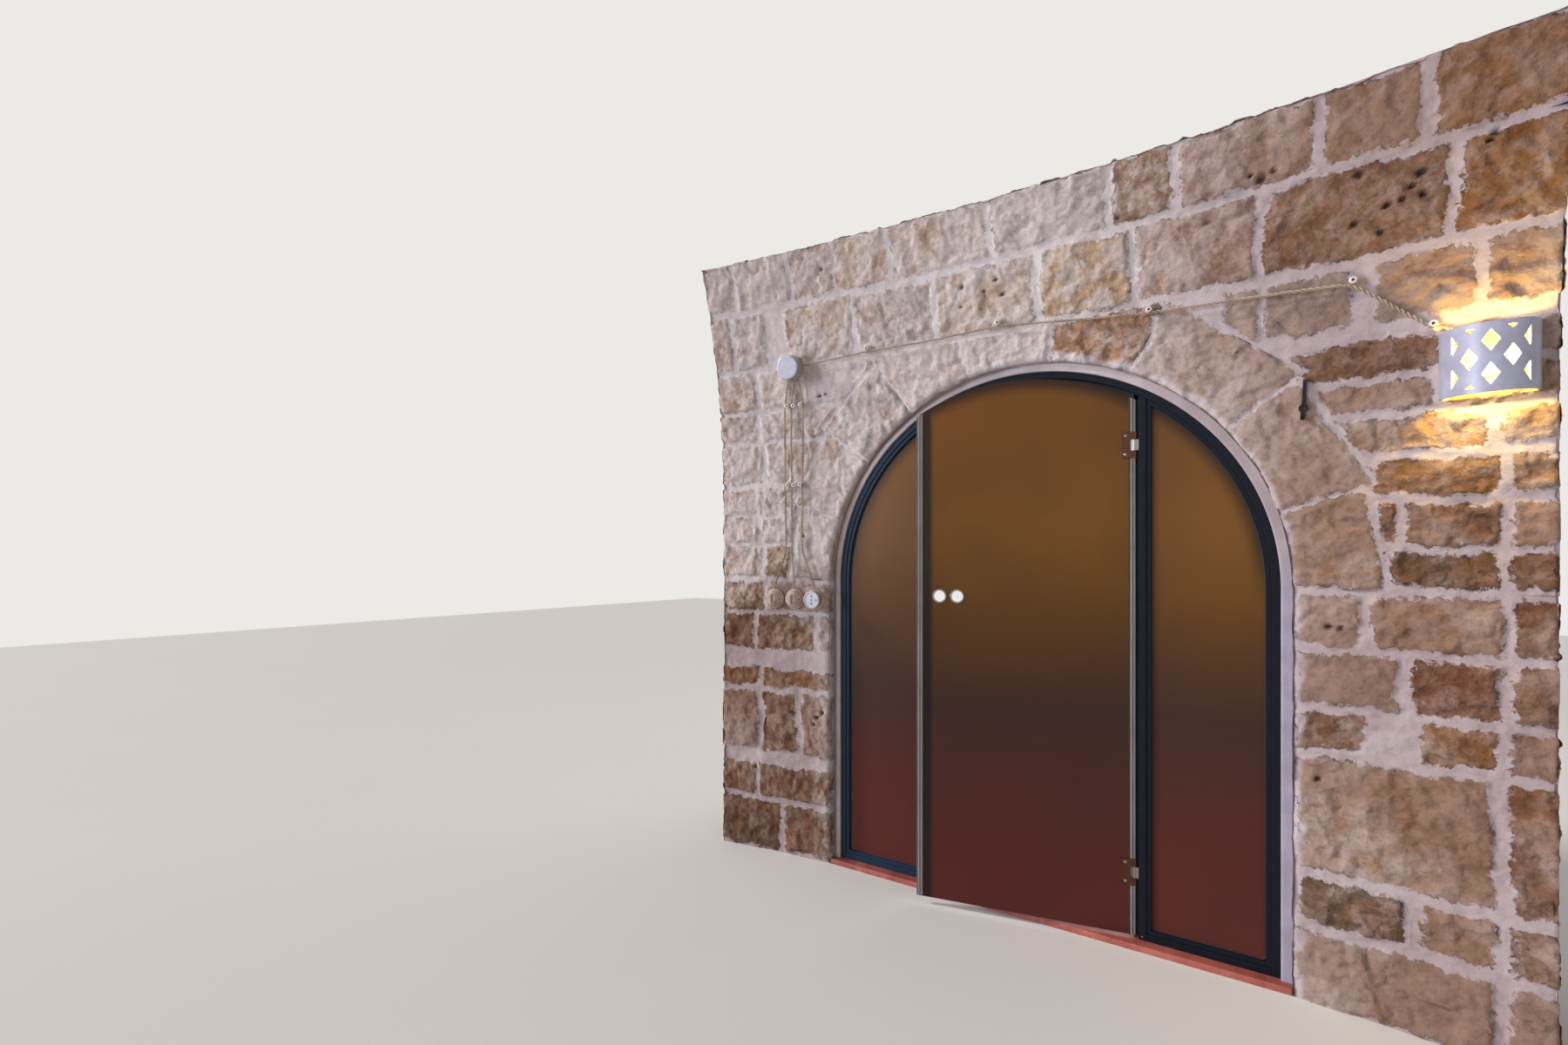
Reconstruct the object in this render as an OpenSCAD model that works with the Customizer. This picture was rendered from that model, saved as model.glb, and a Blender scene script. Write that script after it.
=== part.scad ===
// Arched glazed doorway in a bay of a trullo's limestone wall.
// X runs along the wall, Y goes into it and Z is up. The front plane of the steel
// frame is y = 0, the room is on the -Y side and the bay rests on z = 0.

/* [Wall bay] */
// Length of the bay along the wall
wall_w = 2600; // [2560:5:3000]
// Height of the bay, up to a course bed
wall_h = 2520; // [2440:5:2800]
// Depth of the wall behind the frame's front plane
wall_back = 585; // [400:5:900]
// How far the room face stands in front of the frame at the middle of the bay
face_lead = 12; // [8:1:30]
// Plan radius of the hollow room face
plan_r = 8000; // [6000:100:8500]
// Height where the room face begins to lean into the dome
lean_z = 1530; // [1300:10:1700]
// Radius of the lean
lean_r = 3200; // [2800:50:6000]

/* [Doorway] */
// Half width and arch radius of the steel frame's outside
frame_r = 750; // [700:5:770]
// Height of the springing line above the threshold
spring_h = 1160; // [1100:5:1200]
// Thickness of the lime lining between frame and stones
lining_t = 27; // [20:1:32]
// How far the lining stands in front of the frame
lining_lead = 12; // [6:1:14]
// Thickness of the burnished cement threshold
sill_t = 20; // [12:1:30]
// How far the threshold stands in front of the frame
sill_lead = 42; // [20:1:45]

/* [Courses] */
// Height of the bed that the crown stones reach
crown_bed_z = 2080; // [2060:5:2180]
// How far the bed between the two courses over the arch lies above their middle
upper_bed_lift = 20; // [0:1:40]

/* [Screen] */
// Width of the frame members seen from the front
face_w = 22; // [18:1:50]
// Depth of the frame members
frame_d = 40; // [36:1:60]
// Clear width between the two mullions
door_bay_w = 740; // [700:5:780]
// Height of the rails under the side lights
rail_h = 22; // [18:1:60]
// Width of the glazing beads
bead_w = 14; // [8:1:18]
// Distance from the frame's front to the glass of the closed leaf
glass_inset = 6; // [4:1:12]
// Distance from the frame's front to the glass of the side lights
light_inset = 14; // [8:1:20]
// Thickness of the glass
glass_t = 8; // [6:1:10]
// How far the front bead stands back from the frame's front
bead_step = 4; // [1:1:6]
// Clearance round each sheet of fixed glass
glazing_gap = 1.5; // [1:0.5:3]

/* [Leaf] */
// Angle at which the leaf stands ajar into the room
leaf_ajar = 12; // [0:1:40]
// Distance from the right mullion to the hinge pin's axis
pin_inset = 15; // [14:1:20]
// Gap between the leaf's arched top and the head
head_gap = 14; // [5:1:18]
// How far each seal stops below the leaf's arched top
seal_short = 3; // [2:1:6]
// Gap between the leaf and the threshold
floor_gap = 8; // [5:1:15]
// Gap between the closed leaf's edge seal and the strike mullion
strike_gap = 5; // [5:1:8]
// Width of the clear seal on the strike edge
strike_seal_w = 27; // [20:1:35]
// Width of the clear seal on the hinge edge
hinge_seal_w = 22; // [18:1:28]
// How far each seal reaches past the glass edge
seal_lip = 11; // [8:1:12]
// Wall thickness of the clear seals
seal_t = 1.5; // [1:0.25:2.5]
// Height of the finger holes above the threshold
finger_h = 1113; // [900:5:1150]
// Distance from the strike edge to the first finger hole
finger_inset = 73; // [60:1:100]
// Distance between the two finger holes
finger_pitch = 63; // [60:1:90]
// Outer diameter of the finger rings
ring_d = 50; // [46:1:56]
// Clear hole through a finger ring
ring_hole_d = 40; // [34:1:42]
// Thickness of each ring's flange
ring_t = 2; // [1.5:0.5:3]

/* [Hinges] */
// Height of the lower hinge above the threshold
low_hinge_h = 214; // [150:1:300]
// Height of the upper hinge above the threshold
high_hinge_h = 1625; // [1500:1:1640]
// Height of the hinge plates
plate_h = 87; // [75:1:100]
// Width of the hinge plates
plate_w = 44; // [38:1:55]
// Thickness of the hinge plates
plate_t = 3; // [2:0.5:3]
// Height of the fixed knuckle
knuckle_h = 36; // [28:1:40]
// Radius of the fixed knuckle
knuckle_r = 6.5; // [6:0.5:7]
// Radius of the hinge pin
pin_r = 3; // [2.5:0.5:4]
// Running clearance round the hinge pin
pin_clear = 0.05; // [0.02:0.01:0.1]

/* [Fittings] */
// Diameter of the round junction box
box_d = 102; // [80:1:120]
// Height of the junction box off the wall
box_h = 56; // [40:1:70]
// Diameter of the rotary switches and the socket
switch_d = 86; // [70:1:92]
// Height of a switch's cover off the wall
cover_h = 36; // [28:1:44]
// Diameter of the round knob that turns a switch
turn_d = 46; // [36:1:54]
// Diameter of the socket's insert
insert_d = 62; // [50:1:66]
// Distance between the switches
switch_pitch = 94; // [92:1:112]
// Height of the switches above the threshold
switch_h = 1077; // [1000:5:1150]
// Diameter of the porcelain insulators
knob_d = 19; // [16:1:24]
// Height of the insulators off the wall
knob_h = 22; // [18:1:28]
// Diameter of a twisted cable
cable_d = 7; // [5:0.5:8]
// Distance from the wall to the middle of a cable
cable_off = 14; // [10:1:16]
// Length of the forged hook
hook_l = 116; // [100:1:140]
// Width of the hook's bar
hook_w = 9; // [7:0.5:12]
// Outer diameter of the hook's eye
eye_d = 23; // [20:1:28]
// How far the hook's mouth opens in front of its bar
mouth = 16; // [12:1:24]

/* [Sconce] */
// Radius of the half-round ceramic shade
shade_r = 91; // [80:1:95]
// Height of the shade
shade_h = 168; // [160:1:200]
// Thickness of the shade
shade_t = 7; // [5:1:9]
// Distance of the shade's middle from the doorway's middle
shade_x = 1172; // [1150:1:1190]
// Height of the shade's middle above the threshold
shade_mid_h = 1745; // [1700:5:1800]
// Width of a pierced diamond, along the curve
diamond_w = 33; // [26:1:34]
// Height of a pierced diamond
diamond_h = 52; // [46:1:58]
// Angle between the columns of diamonds
column_deg = 24.5; // [23:0.5:28]
// Distance from the middle row of diamonds to the next
row_pitch = 40; // [36:1:44]
// Width of the small triangles over and under the middle row
notch_w = 20; // [14:1:24]
// Height of the small triangles
notch_h = 12; // [8:1:16]
// Distance from the shade's rim to the small triangles
notch_rim = 12; // [8:1:16]
// Radius of the lamp's bulb
bulb_r = 22; // [18:1:26]

/* [Hidden] */
// Clearance that seats one piece on another
seat = 0.3;
// Smoothness of round forms
$fn = 96;

spring_z = sill_t + spring_h;
inner_r = frame_r - face_w;
lining_in_r = frame_r + seat;
lining_out_r = lining_in_r + lining_t;
mason_r = lining_out_r + seat;
mull_in = door_bay_w / 2;
mull_out = mull_in + face_w;
rail_top = sill_t + rail_h;
upper_bed_z = (crown_bed_z + wall_h) / 2 + upper_bed_lift;

// Angles of the arch joints about the springing centre, from the right,
// and how deep each stone reaches from the lining
joint_deg = [0, 17, 38, 63, 83, 104, 123, 142, 161, 180];
stone_depth = [205, 225, 240, 900, 900, 900, 250, 225, 195];
// Widest stretch of wall that one arch stone takes up
stone_room = 470;
stone_colour = ["#d8cbb8", "#cfc1b0", "#dccfbe", "#b99d7d", "#e0d6c6", "#ddd2c3",
                "#d5c7b6", "#cdbca8", "#d9ccbb"];

// Leaf, drawn closed
pin_x = mull_in - pin_inset;
pin_y = glass_inset + glass_t / 2;
leaf_left = -mull_in + strike_gap;
glass_left = leaf_left + seal_lip;
glass_right = pin_x - knuckle_r + 0.5;
leaf_top_r = inner_r - head_gap;
leaf_low = sill_t + floor_gap;
seal_right = glass_right + seal_lip + 1;
finger_z = sill_t + finger_h;
finger_x = [for (k = [0, 1]) leaf_left + finger_inset + 11 + k * finger_pitch];
hinge_z = [sill_t + low_hinge_h, sill_t + high_hinge_h];
// Clear distance between a hinge plate and the cut end of a seal
plate_gap = 1;
// Gap between the knuckle's ends and the clamp that turns on it
knuckle_gap = 0.5;
// How far the pin stands in the clamp
pin_reach = 14;
// Room in the clamp and the glass round the knuckle
knuckle_room = 3;

switch_z = sill_t + switch_h;
socket_x = -843;
box_x = -920;
box_z = 2067;
shade_z = sill_t + shade_mid_h;
// The lamp's wall rose, and how far the lamp stands off the wall and below the middle
rose_r = 14;
lamp_stalk = bulb_r + 8;
lamp_z = shade_z - 30;

// Face of the room: its radius at a height, and its place and slope at a point
function lean_at(z) = z <= lean_z ? 0 : lean_r - sqrt(lean_r * lean_r - pow(z - lean_z, 2));
function lean_deg(z) = z <= lean_z ? 0 : asin((z - lean_z) / lean_r);
function face_r(z) = plan_r - lean_at(z);
function face_y(x, z) = sqrt(pow(face_r(z), 2) - x * x) - plan_r - face_lead;
function face_deg(x, z) = asin(x / face_r(z));
function off_face(x, z, off) =
    [x, face_y(x, z), z]
    - off * [sin(face_deg(x, z)) * cos(lean_deg(z)), cos(face_deg(x, z)) * cos(lean_deg(z)),
             sin(lean_deg(z))];

// Shapes drawn in the plane of the wall, X across and Y up

module upright(y_front, y_back) {
    translate([0, y_back, 0])
        rotate([90, 0, 0])
            linear_extrude(y_back - y_front)
                children();
}

module arch_2d(r, low) {
    translate([0, spring_z])
        circle(r, $fn = 180);
    translate([-r, low])
        square([2 * r, spring_z - low]);
}

module band_2d(x0, x1, z0, z1) {
    translate([x0, z0])
        square([x1 - x0, z1 - z0]);
}

function stone_reach(i) = mason_r + stone_depth[i];

// Each stone stands back from its two joints and from the wall behind its arch
module arch_stone_2d(i) {
    joint_gap_deg = asin(seat / 2 / mason_r);
    sides_deg = [joint_deg[i] + joint_gap_deg, joint_deg[i + 1] - joint_gap_deg];
    corner = [for (side_deg = sides_deg)
        (stone_reach(i) - seat) * [cos(side_deg), sin(side_deg)]];
    intersection() {
        difference() {
            translate([0, spring_z])
                polygon([[0, 0], corner[0], corner[1]]);
            arch_2d(mason_r, 0);
        }
        band_2d(-wall_w / 2, wall_w / 2, 0, crown_bed_z);
    }
}

// Stonework behind the room's hollow, leaning face

// The sector of the room's hollow in front of x, a little wider than the piece there
module room_hollow(x, width) {
    deep = 500;
    below = 50;
    half = asin(width / 2 / (plan_r - deep)) + 1.06;
    translate([0, -plan_r - face_lead, -below])
        rotate([0, 0, 90 - half - asin(x / plan_r)])
            rotate_extrude(angle = 2 * half, $fn = 256) {
                translate([plan_r - deep, 0])
                    square([deep, lean_z + below]);
                intersection() {
                    translate([plan_r - lean_r, lean_z + below])
                        circle(lean_r, $fn = 256);
                    translate([plan_r - deep, lean_z + below])
                        square([deep, wall_h - lean_z + below]);
                }
            }
}

module masonry(x, width) {
    difference() {
        upright(-400, wall_back)
            children();
        room_hollow(x, width);
    }
}

module pier(side) {
    width = wall_w / 2 - mason_r;
    x = side * (mason_r + width / 2);
    color("#d9cab8")
        masonry(x, width)
            band_2d(x - width / 2, x + width / 2, 0, spring_z);
}

module spandrel(side) {
    corners = [for (i = [0:len(stone_depth) - 1], k = [0, 1])
        stone_reach(i) * [cos(joint_deg[i + k]), sin(joint_deg[i + k])]];
    x = side * wall_w / 4;
    color("#d6c8b7")
        masonry(x, wall_w / 2)
            difference() {
                band_2d(x - wall_w / 4, x + wall_w / 4, spring_z, crown_bed_z);
                translate([0, spring_z])
                    polygon(concat([[0, 0]], corners));
            }
}

module course(z0, z1) {
    color("#d2c4b4")
        masonry(0, wall_w)
            band_2d(-wall_w / 2, wall_w / 2, z0, z1);
}

module arch_stone(i) {
    middle_deg = (joint_deg[i] + joint_deg[i + 1]) / 2;
    color(stone_colour[i])
        masonry((mason_r + 130) * cos(middle_deg), stone_room)
            arch_stone_2d(i);
}

module threshold() {
    color("#8c4a3c")
        translate([-mason_r, -sill_lead, 0])
            cube([2 * mason_r, wall_back + sill_lead, sill_t]);
}

module lime_lining() {
    color("#dfdad4")
        upright(-lining_lead, wall_back)
            difference() {
                arch_2d(lining_out_r, sill_t);
                arch_2d(lining_in_r, sill_t - 1);
            }
}

// Steel screen

module frame_ring_2d() {
    difference() {
        arch_2d(frame_r, sill_t);
        arch_2d(inner_r, sill_t - 1);
    }
}

module outer_stile(side) {
    color("#20242c")
        upright(0, frame_d)
            intersection() {
                frame_ring_2d();
                scale([side, 1])
                    band_2d(mull_in, frame_r + 1, sill_t, wall_h);
            }
}

module door_head() {
    color("#20242c")
        upright(0, frame_d)
            intersection() {
                frame_ring_2d();
                band_2d(-mull_in, mull_in, spring_z, wall_h);
            }
}

module mullion(side) {
    color("#1d2129")
        upright(0, frame_d)
            intersection() {
                arch_2d(inner_r, sill_t);
                scale([side, 1])
                    band_2d(mull_in, mull_out, sill_t, wall_h);
            }
}

module light_2d(side, inset) {
    intersection() {
        arch_2d(inner_r - inset, sill_t);
        scale([side, 1])
            band_2d(mull_out + inset, inner_r, rail_top + inset, wall_h);
    }
}

module bottom_rail(side) {
    color("#20242c")
        upright(0, frame_d)
            scale([side, 1])
                band_2d(mull_out, inner_r, sill_t, rail_top);
}

module light_beads(side) {
    color("#272c35") {
        upright(bead_step, light_inset)
            difference() {
                light_2d(side, 0);
                light_2d(side, bead_w);
            }
        upright(light_inset + glass_t, frame_d - bead_step)
            difference() {
                light_2d(side, 0);
                light_2d(side, bead_w);
            }
    }
}

module light_glass(side) {
    color("#6d5a50", 0.7)
        upright(light_inset, light_inset + glass_t)
            light_2d(side, glazing_gap);
}

module hinge_bracket(z) {
    color("#c9ccd0") {
        translate([pin_x, pin_y, z - knuckle_h / 2])
            cylinder(r = knuckle_r, h = knuckle_h);
        translate([pin_x, pin_y - 4, z - knuckle_h / 2])
            cube([pin_inset, 8, knuckle_h]);
        translate([pin_x, pin_y, z - knuckle_h / 2 - pin_reach])
            cylinder(r = pin_r, h = knuckle_h + 2 * pin_reach);
    }
}

// Glass leaf, drawn closed and then turned about the hinge pins

module ajar() {
    translate([pin_x, pin_y, 0])
        rotate([0, 0, leaf_ajar])
            translate([-pin_x, -pin_y, 0])
                children();
}

module leaf_2d(x0, x1, top_r) {
    intersection() {
        arch_2d(top_r, leaf_low);
        band_2d(x0, x1, leaf_low, wall_h);
    }
}

module door_glass() {
    color("#6d5a50", 0.7)
        ajar()
            upright(glass_inset, glass_inset + glass_t)
                difference() {
                    leaf_2d(glass_left, glass_right, leaf_top_r);
                    for (x = finger_x)
                        translate([x, finger_z])
                            circle(d = (ring_d + ring_hole_d) / 2 + 2 * seat);
                    for (z = hinge_z)
                        translate([pin_x - knuckle_r - knuckle_room, z - knuckle_h / 2 - knuckle_room])
                            square([plate_w, knuckle_h + 2 * knuckle_room]);
                }
}

module edge_seal(x0, x1, glass_x0, glass_x1) {
    difference() {
        upright(glass_inset - seal_t, glass_inset + glass_t + seal_t)
            leaf_2d(x0, x1, leaf_top_r - seal_short);
        translate([glass_x0, glass_inset, leaf_low - 1])
            cube([glass_x1 - glass_x0, glass_t, wall_h]);
    }
}

module strike_seal() {
    color("#cfd6d8", 0.6)
        ajar()
            edge_seal(leaf_left, leaf_left + strike_seal_w, glass_left, glass_left + wall_w);
}

module hinge_side_seal() {
    color("#cfd6d8", 0.6)
        ajar()
            difference() {
                edge_seal(seal_right - hinge_seal_w, seal_right, glass_right - wall_w, glass_right);
                for (z = hinge_z)
                    translate([0, -frame_d, z - plate_h / 2 - plate_gap])
                        cube([wall_w, 3 * frame_d, plate_h + 2 * plate_gap]);
            }
}

module hinge_clamp(z) {
    // The clamp reaches just past the pin, inside the circle that clears the mullion
    past_pin = knuckle_r - 0.5;
    low = z - plate_h / 2;
    color("#cfd2d6")
        ajar()
            difference() {
                union() {
                    for (y = [glass_inset - plate_t, glass_inset + glass_t])
                        translate([pin_x + past_pin - plate_w, y, low])
                            cube([plate_w, plate_t, plate_h]);
                    translate([glass_right, glass_inset, low])
                        cube([pin_x + past_pin - glass_right, glass_t, plate_h]);
                }
                translate([pin_x - knuckle_r - knuckle_room, 0, z - knuckle_h / 2 - knuckle_gap])
                    translate([0, -frame_d, 0])
                        cube([plate_w, 3 * frame_d, knuckle_h + 2 * knuckle_gap]);
                translate([pin_x, pin_y, low - 1])
                    cylinder(r = pin_r + pin_clear, h = plate_h + 2);
            }
}

module finger_rings() {
    flange_y = glass_inset - ring_t;
    sleeve_r = (ring_d + ring_hole_d) / 4;
    color("#c9ccd0")
        ajar()
            for (x = finger_x)
                translate([x, pin_y, finger_z])
                    rotate([90, 0, 0])
                        rotate_extrude()
                            polygon([[ring_hole_d / 2, -glass_t / 2 - ring_t],
                                     [ring_d / 2, -glass_t / 2 - ring_t],
                                     [ring_d / 2, -glass_t / 2],
                                     [sleeve_r, -glass_t / 2],
                                     [sleeve_r, glass_t / 2],
                                     [ring_d / 2, glass_t / 2],
                                     [ring_d / 2, glass_t / 2 + ring_t],
                                     [ring_hole_d / 2, glass_t / 2 + ring_t]]);
}

// Fittings on the room face

// The hollow face meets a flat base of radius reach at its rim, so the base stands off
// the face's tangent by that rise and the seat clearance
module on_face(x, z, reach) {
    rise = pow(reach, 2) / 2 * (1 / plan_r + (z > lean_z ? 1 / lean_r : 0));
    translate([x, face_y(x, z), z])
        rotate([0, 0, -face_deg(x, z)])
            rotate([90 + lean_deg(z), 0, 0])
                translate([0, 0, rise + seat])
                    children();
}

module junction_box() {
    r = box_d / 2;
    color("#d9dbdd")
        on_face(box_x, box_z, r)
            rotate_extrude()
                polygon([[0, 0], [r, 0], [r, box_h * 0.45], [r - 2, box_h * 0.5],
                         [r - 2, box_h - 7], [r - 4, box_h - 3], [r - 9, box_h],
                         [0, box_h]]);
}

// A porcelain cover on its base plate, round in plan, closing in to its front
module switch_cover(front_r, h) {
    r = switch_d / 2;
    base_h = 9;
    step = 4;
    round = 3;
    rotate_extrude()
        polygon([[0, 0], [r, 0], [r, base_h - round], [r - round, base_h],
                 [r - step, base_h], [r - step - 1, h * 0.5], [front_r + 2 * round, h - round],
                 [front_r + round, h], [0, h]]);
}

module rotary_switch(x) {
    turn_r = turn_d / 2;
    turn_h = 7;
    grip_w = 8;
    grip_h = 9;
    color("#d8cfc2")
        on_face(x, switch_z, switch_d / 2) {
            switch_cover(turn_r, cover_h);
            translate([0, 0, cover_h])
                rotate_extrude()
                    polygon([[0, 0], [turn_r, 0], [turn_r, turn_h - 2], [turn_r - 2, turn_h],
                             [0, turn_h]]);
            translate([-grip_w / 2, -turn_r + 4, cover_h + turn_h])
                cube([grip_w, turn_d - 8, grip_h]);
        }
}

module socket_outlet() {
    recess = 2.5;
    insert_r = insert_d / 2;
    color("#dcd8d0")
        on_face(socket_x, switch_z, switch_d / 2)
            difference() {
                switch_cover(insert_r, cover_h + recess);
                translate([0, 0, cover_h])
                    cylinder(r = insert_r, h = 2 * recess);
            }
}

// A forged bar with an eye, turned out and up at its foot
module coat_hook() {
    hook_x = 803;
    hook_z = 1724;
    lean_right = 3;
    bar_t = 6;
    bend_r = (mouth + bar_t) / 2;
    foot = -hook_l / 2 + bend_r + bar_t / 2;
    eye_y = foot + 21;
    color("#2b2724")
        on_face(hook_x, hook_z, hook_l / 2)
            rotate([0, 0, -lean_right]) {
                linear_extrude(bar_t)
                    difference() {
                        union() {
                            band_2d(-hook_w / 2, hook_w / 2, foot, hook_l / 2);
                            translate([0, eye_y])
                                circle(d = eye_d);
                        }
                        translate([0, eye_y])
                            circle(d = eye_d / 3);
                    }
                translate([0, foot, bar_t / 2 + bend_r])
                    rotate([0, 90, 0])
                        rotate([0, 0, 180])
                            rotate_extrude(angle = 180)
                                translate([bend_r - bar_t / 2, -hook_w / 2])
                                    square([bar_t, hook_w]);
                translate([-hook_w / 2, foot, 2 * bend_r])
                    cube([hook_w, 8, bar_t]);
            }
}

// Cuts a flat outline through the curved shade, at an angle round it
module pierce(deg) {
    rotate([0, deg, 0])
        translate([0, 0, shade_r - 3 * shade_t])
            linear_extrude(6 * shade_t)
                children();
}

module diamond_2d(left_w, right_w) {
    polygon([[-left_w, 0], [0, -diamond_h / 2], [right_w, 0], [0, diamond_h / 2]]);
}

// Drawn with its axis up the wall and the pierced half round towards the room
module sconce_shade() {
    inner = shade_r - shade_t;
    half_w = diamond_w / 2;
    notch_y = shade_h / 2 - notch_rim;
    color("#e6e0d6")
        on_face(shade_x, shade_z, shade_h / 2)
            difference() {
                rotate([90, 0, 0])
                    linear_extrude(shade_h, center = true)
                        difference() {
                            circle(shade_r);
                            circle(inner);
                            translate([-2 * shade_r, -2 * shade_r])
                                square([4 * shade_r, 2 * shade_r]);
                        }
                for (side = [-1, 1]) {
                    pierce(side * column_deg)
                        diamond_2d(half_w, half_w);
                    pierce(0)
                        translate([0, side * row_pitch])
                            diamond_2d(half_w, half_w);
                    pierce(side * column_deg)
                        polygon([[-notch_w / 2, notch_y], [notch_w / 2, notch_y],
                                 [0, notch_y - notch_h]]);
                    for (row = [-1, 1])
                        pierce(side * 2 * column_deg)
                            translate([0, row * row_pitch])
                                scale([side, 1])
                                    polygon([[-half_w, 0], [0, -diamond_h / 2], [0, diamond_h / 2]]);
                }
                pierce(-column_deg)
                    polygon([[-notch_w / 2, -notch_y], [notch_w / 2, -notch_y],
                             [0, notch_h - notch_y]]);
            }
}

module sconce_lamp() {
    socket_r = 13;
    socket_h = 26;
    color("#f3e2bd")
        on_face(shade_x, lamp_z, bulb_r) {
            cylinder(r = rose_r, h = lamp_stalk);
            translate([0, 0, lamp_stalk])
                rotate([-90, 0, 0])
                    cylinder(r = socket_r, h = socket_h);
            translate([0, socket_h + bulb_r - 3, lamp_stalk])
                sphere(bulb_r);
        }
}

// Porcelain insulators and the cables that they hold off the wall

knob_rows = [
    [-953, 1915], [-923, 1914], [-889, 1915],
    [-965, 1582], [-935, 1581], [-905, 1582],
    [-580, 2099], [-69, 2109], [411, 2058], [909, 2027], [1070, 1878]
];

module knob() {
    r = knob_d / 2;
    rotate_extrude($fn = 32)
        polygon([[0, 0], [r, 0], [r, knob_h * 0.35], [r - 2.5, knob_h * 0.5],
                 [r - 2.5, knob_h * 0.7], [r - 0.5, knob_h * 0.8], [r - 1.5, knob_h],
                 [0, knob_h]]);
}

module insulators() {
    color("#e8e6e1")
        for (p = knob_rows)
            on_face(p[0], p[1], knob_d / 2)
                knob();
}

function unit(v) = v / norm(v);
function lifted(p) = off_face(p[0], p[1], len(p) > 2 ? p[2] : cable_off);
function heading(pts, i) =
    unit(pts[min(i + 1, len(pts) - 1)] - pts[max(i - 1, 0)]);

// A tube swept along points, with one ring of eight corners at each
module swept(pts, r) {
    sides = 8;
    n = len(pts);
    rings = [for (i = [0:n - 1])
        let (t = heading(pts, i), u = unit(cross(t, [0, -1, 0])), v = cross(u, t))
        for (k = [0:sides - 1])
            pts[i] + r * (cos(360 * k / sides) * u + sin(360 * k / sides) * v)];
    walls = [for (i = [0:n - 2], k = [0:sides - 1])
        let (a = i * sides + k, b = i * sides + (k + 1) % sides)
        [a, b, b + sides, a + sides]];
    polyhedron(
        points = rings,
        faces = concat([[for (k = [sides - 1:-1:0]) k]], walls,
                       [[for (k = [0:sides - 1]) (n - 1) * sides + k]]),
        convexity = 4);
}

// A cable lies in the waist of each insulator, on the side at the given angle
function held(k, deg) =
    knob_rows[k] + (knob_d / 2 - 2.5 + cable_d / 2 + seat) * [cos(deg), sin(deg)];

// A cable meets the side of a round fitting squarely, at the given angle round it, over
// a short straight stretch: the point at the fitting comes last, or first in a leaving one
function meeting(x, z, r, deg) = [for (away = [12, seat])
    [x + (r + away) * cos(deg), z + (r + away) * sin(deg), box_h / 8]];
function leaving(x, z, r, deg) = [for (k = [1, 0]) meeting(x, z, r, deg)[k]];

cable_routes = [
    concat(leaving(box_x, box_z, box_d / 2, 247), [held(0, 180), held(3, 180), [-972, 1300]],
           meeting(socket_x - 2 * switch_pitch, switch_z, switch_d / 2, 90)),
    concat(leaving(box_x, box_z, box_d / 2, 270), [held(1, 180), held(4, 180), [-944, 1300]],
           meeting(socket_x - switch_pitch, switch_z, switch_d / 2, 90)),
    concat(leaving(box_x, box_z, box_d / 2, 293), [held(2, 0), held(5, 0), [-898, 1310]],
           meeting(socket_x, switch_z, switch_d / 2, 90)),
    concat(leaving(box_x, box_z, box_d / 2, 4),
           [held(6, 270), [-320, 2088], held(7, 270), [200, 2069], held(8, 270), [660, 2036],
            held(9, 250), held(10, 180), held(10, 225), held(10, 270), [1096, 1871],
            [1116, 1846], [1136, 1790]],
           meeting(shade_x, lamp_z, rose_r, 180))
];

module wall_cables() {
    color("#cdbfa8")
        for (route = cable_routes)
            swept([for (p = route) lifted(p)], cable_d / 2);
}

threshold();
pier(-1);  // left_pier
pier(1);  // right_pier
spandrel(-1);  // left_spandrel
spandrel(1);  // right_spandrel
course(crown_bed_z, upper_bed_z);  // lower_course_over_arch
course(upper_bed_z, wall_h);  // upper_course_over_arch
arch_stone(0);  // arch_stone_1
arch_stone(1);  // arch_stone_2
arch_stone(2);  // arch_stone_3
arch_stone(3);  // arch_stone_4
arch_stone(4);  // arch_stone_5
arch_stone(5);  // arch_stone_6
arch_stone(6);  // arch_stone_7
arch_stone(7);  // arch_stone_8
arch_stone(8);  // arch_stone_9
lime_lining();
outer_stile(-1);  // left_outer_stile
outer_stile(1);  // right_outer_stile
door_head();
mullion(-1);  // left_mullion
mullion(1);  // right_mullion
bottom_rail(-1);  // left_bottom_rail
bottom_rail(1);  // right_bottom_rail
light_beads(-1);  // left_light_beads
light_beads(1);  // right_light_beads
light_glass(-1);  // left_light_glass
light_glass(1);  // right_light_glass
hinge_bracket(hinge_z[0]);  // lower_hinge_bracket
hinge_bracket(hinge_z[1]);  // upper_hinge_bracket
door_glass();
strike_seal();
hinge_side_seal();
hinge_clamp(hinge_z[0]);  // lower_hinge_clamp
hinge_clamp(hinge_z[1]);  // upper_hinge_clamp
finger_rings();
junction_box();
rotary_switch(socket_x - 2 * switch_pitch);  // rotary_switch_left
rotary_switch(socket_x - switch_pitch);  // rotary_switch_right
socket_outlet();
coat_hook();
sconce_shade();
sconce_lamp();
wall_cables();
insulators();
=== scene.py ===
"""Arched glazed doorway in a bay of trullo wall.

Stones, lime, steel, glass and fittings are dressed over the CAD frame, at its sizes."""

import math
from functools import partial

import bmesh
import bpy
import numpy as np
from mathutils import Matrix, Vector


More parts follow.
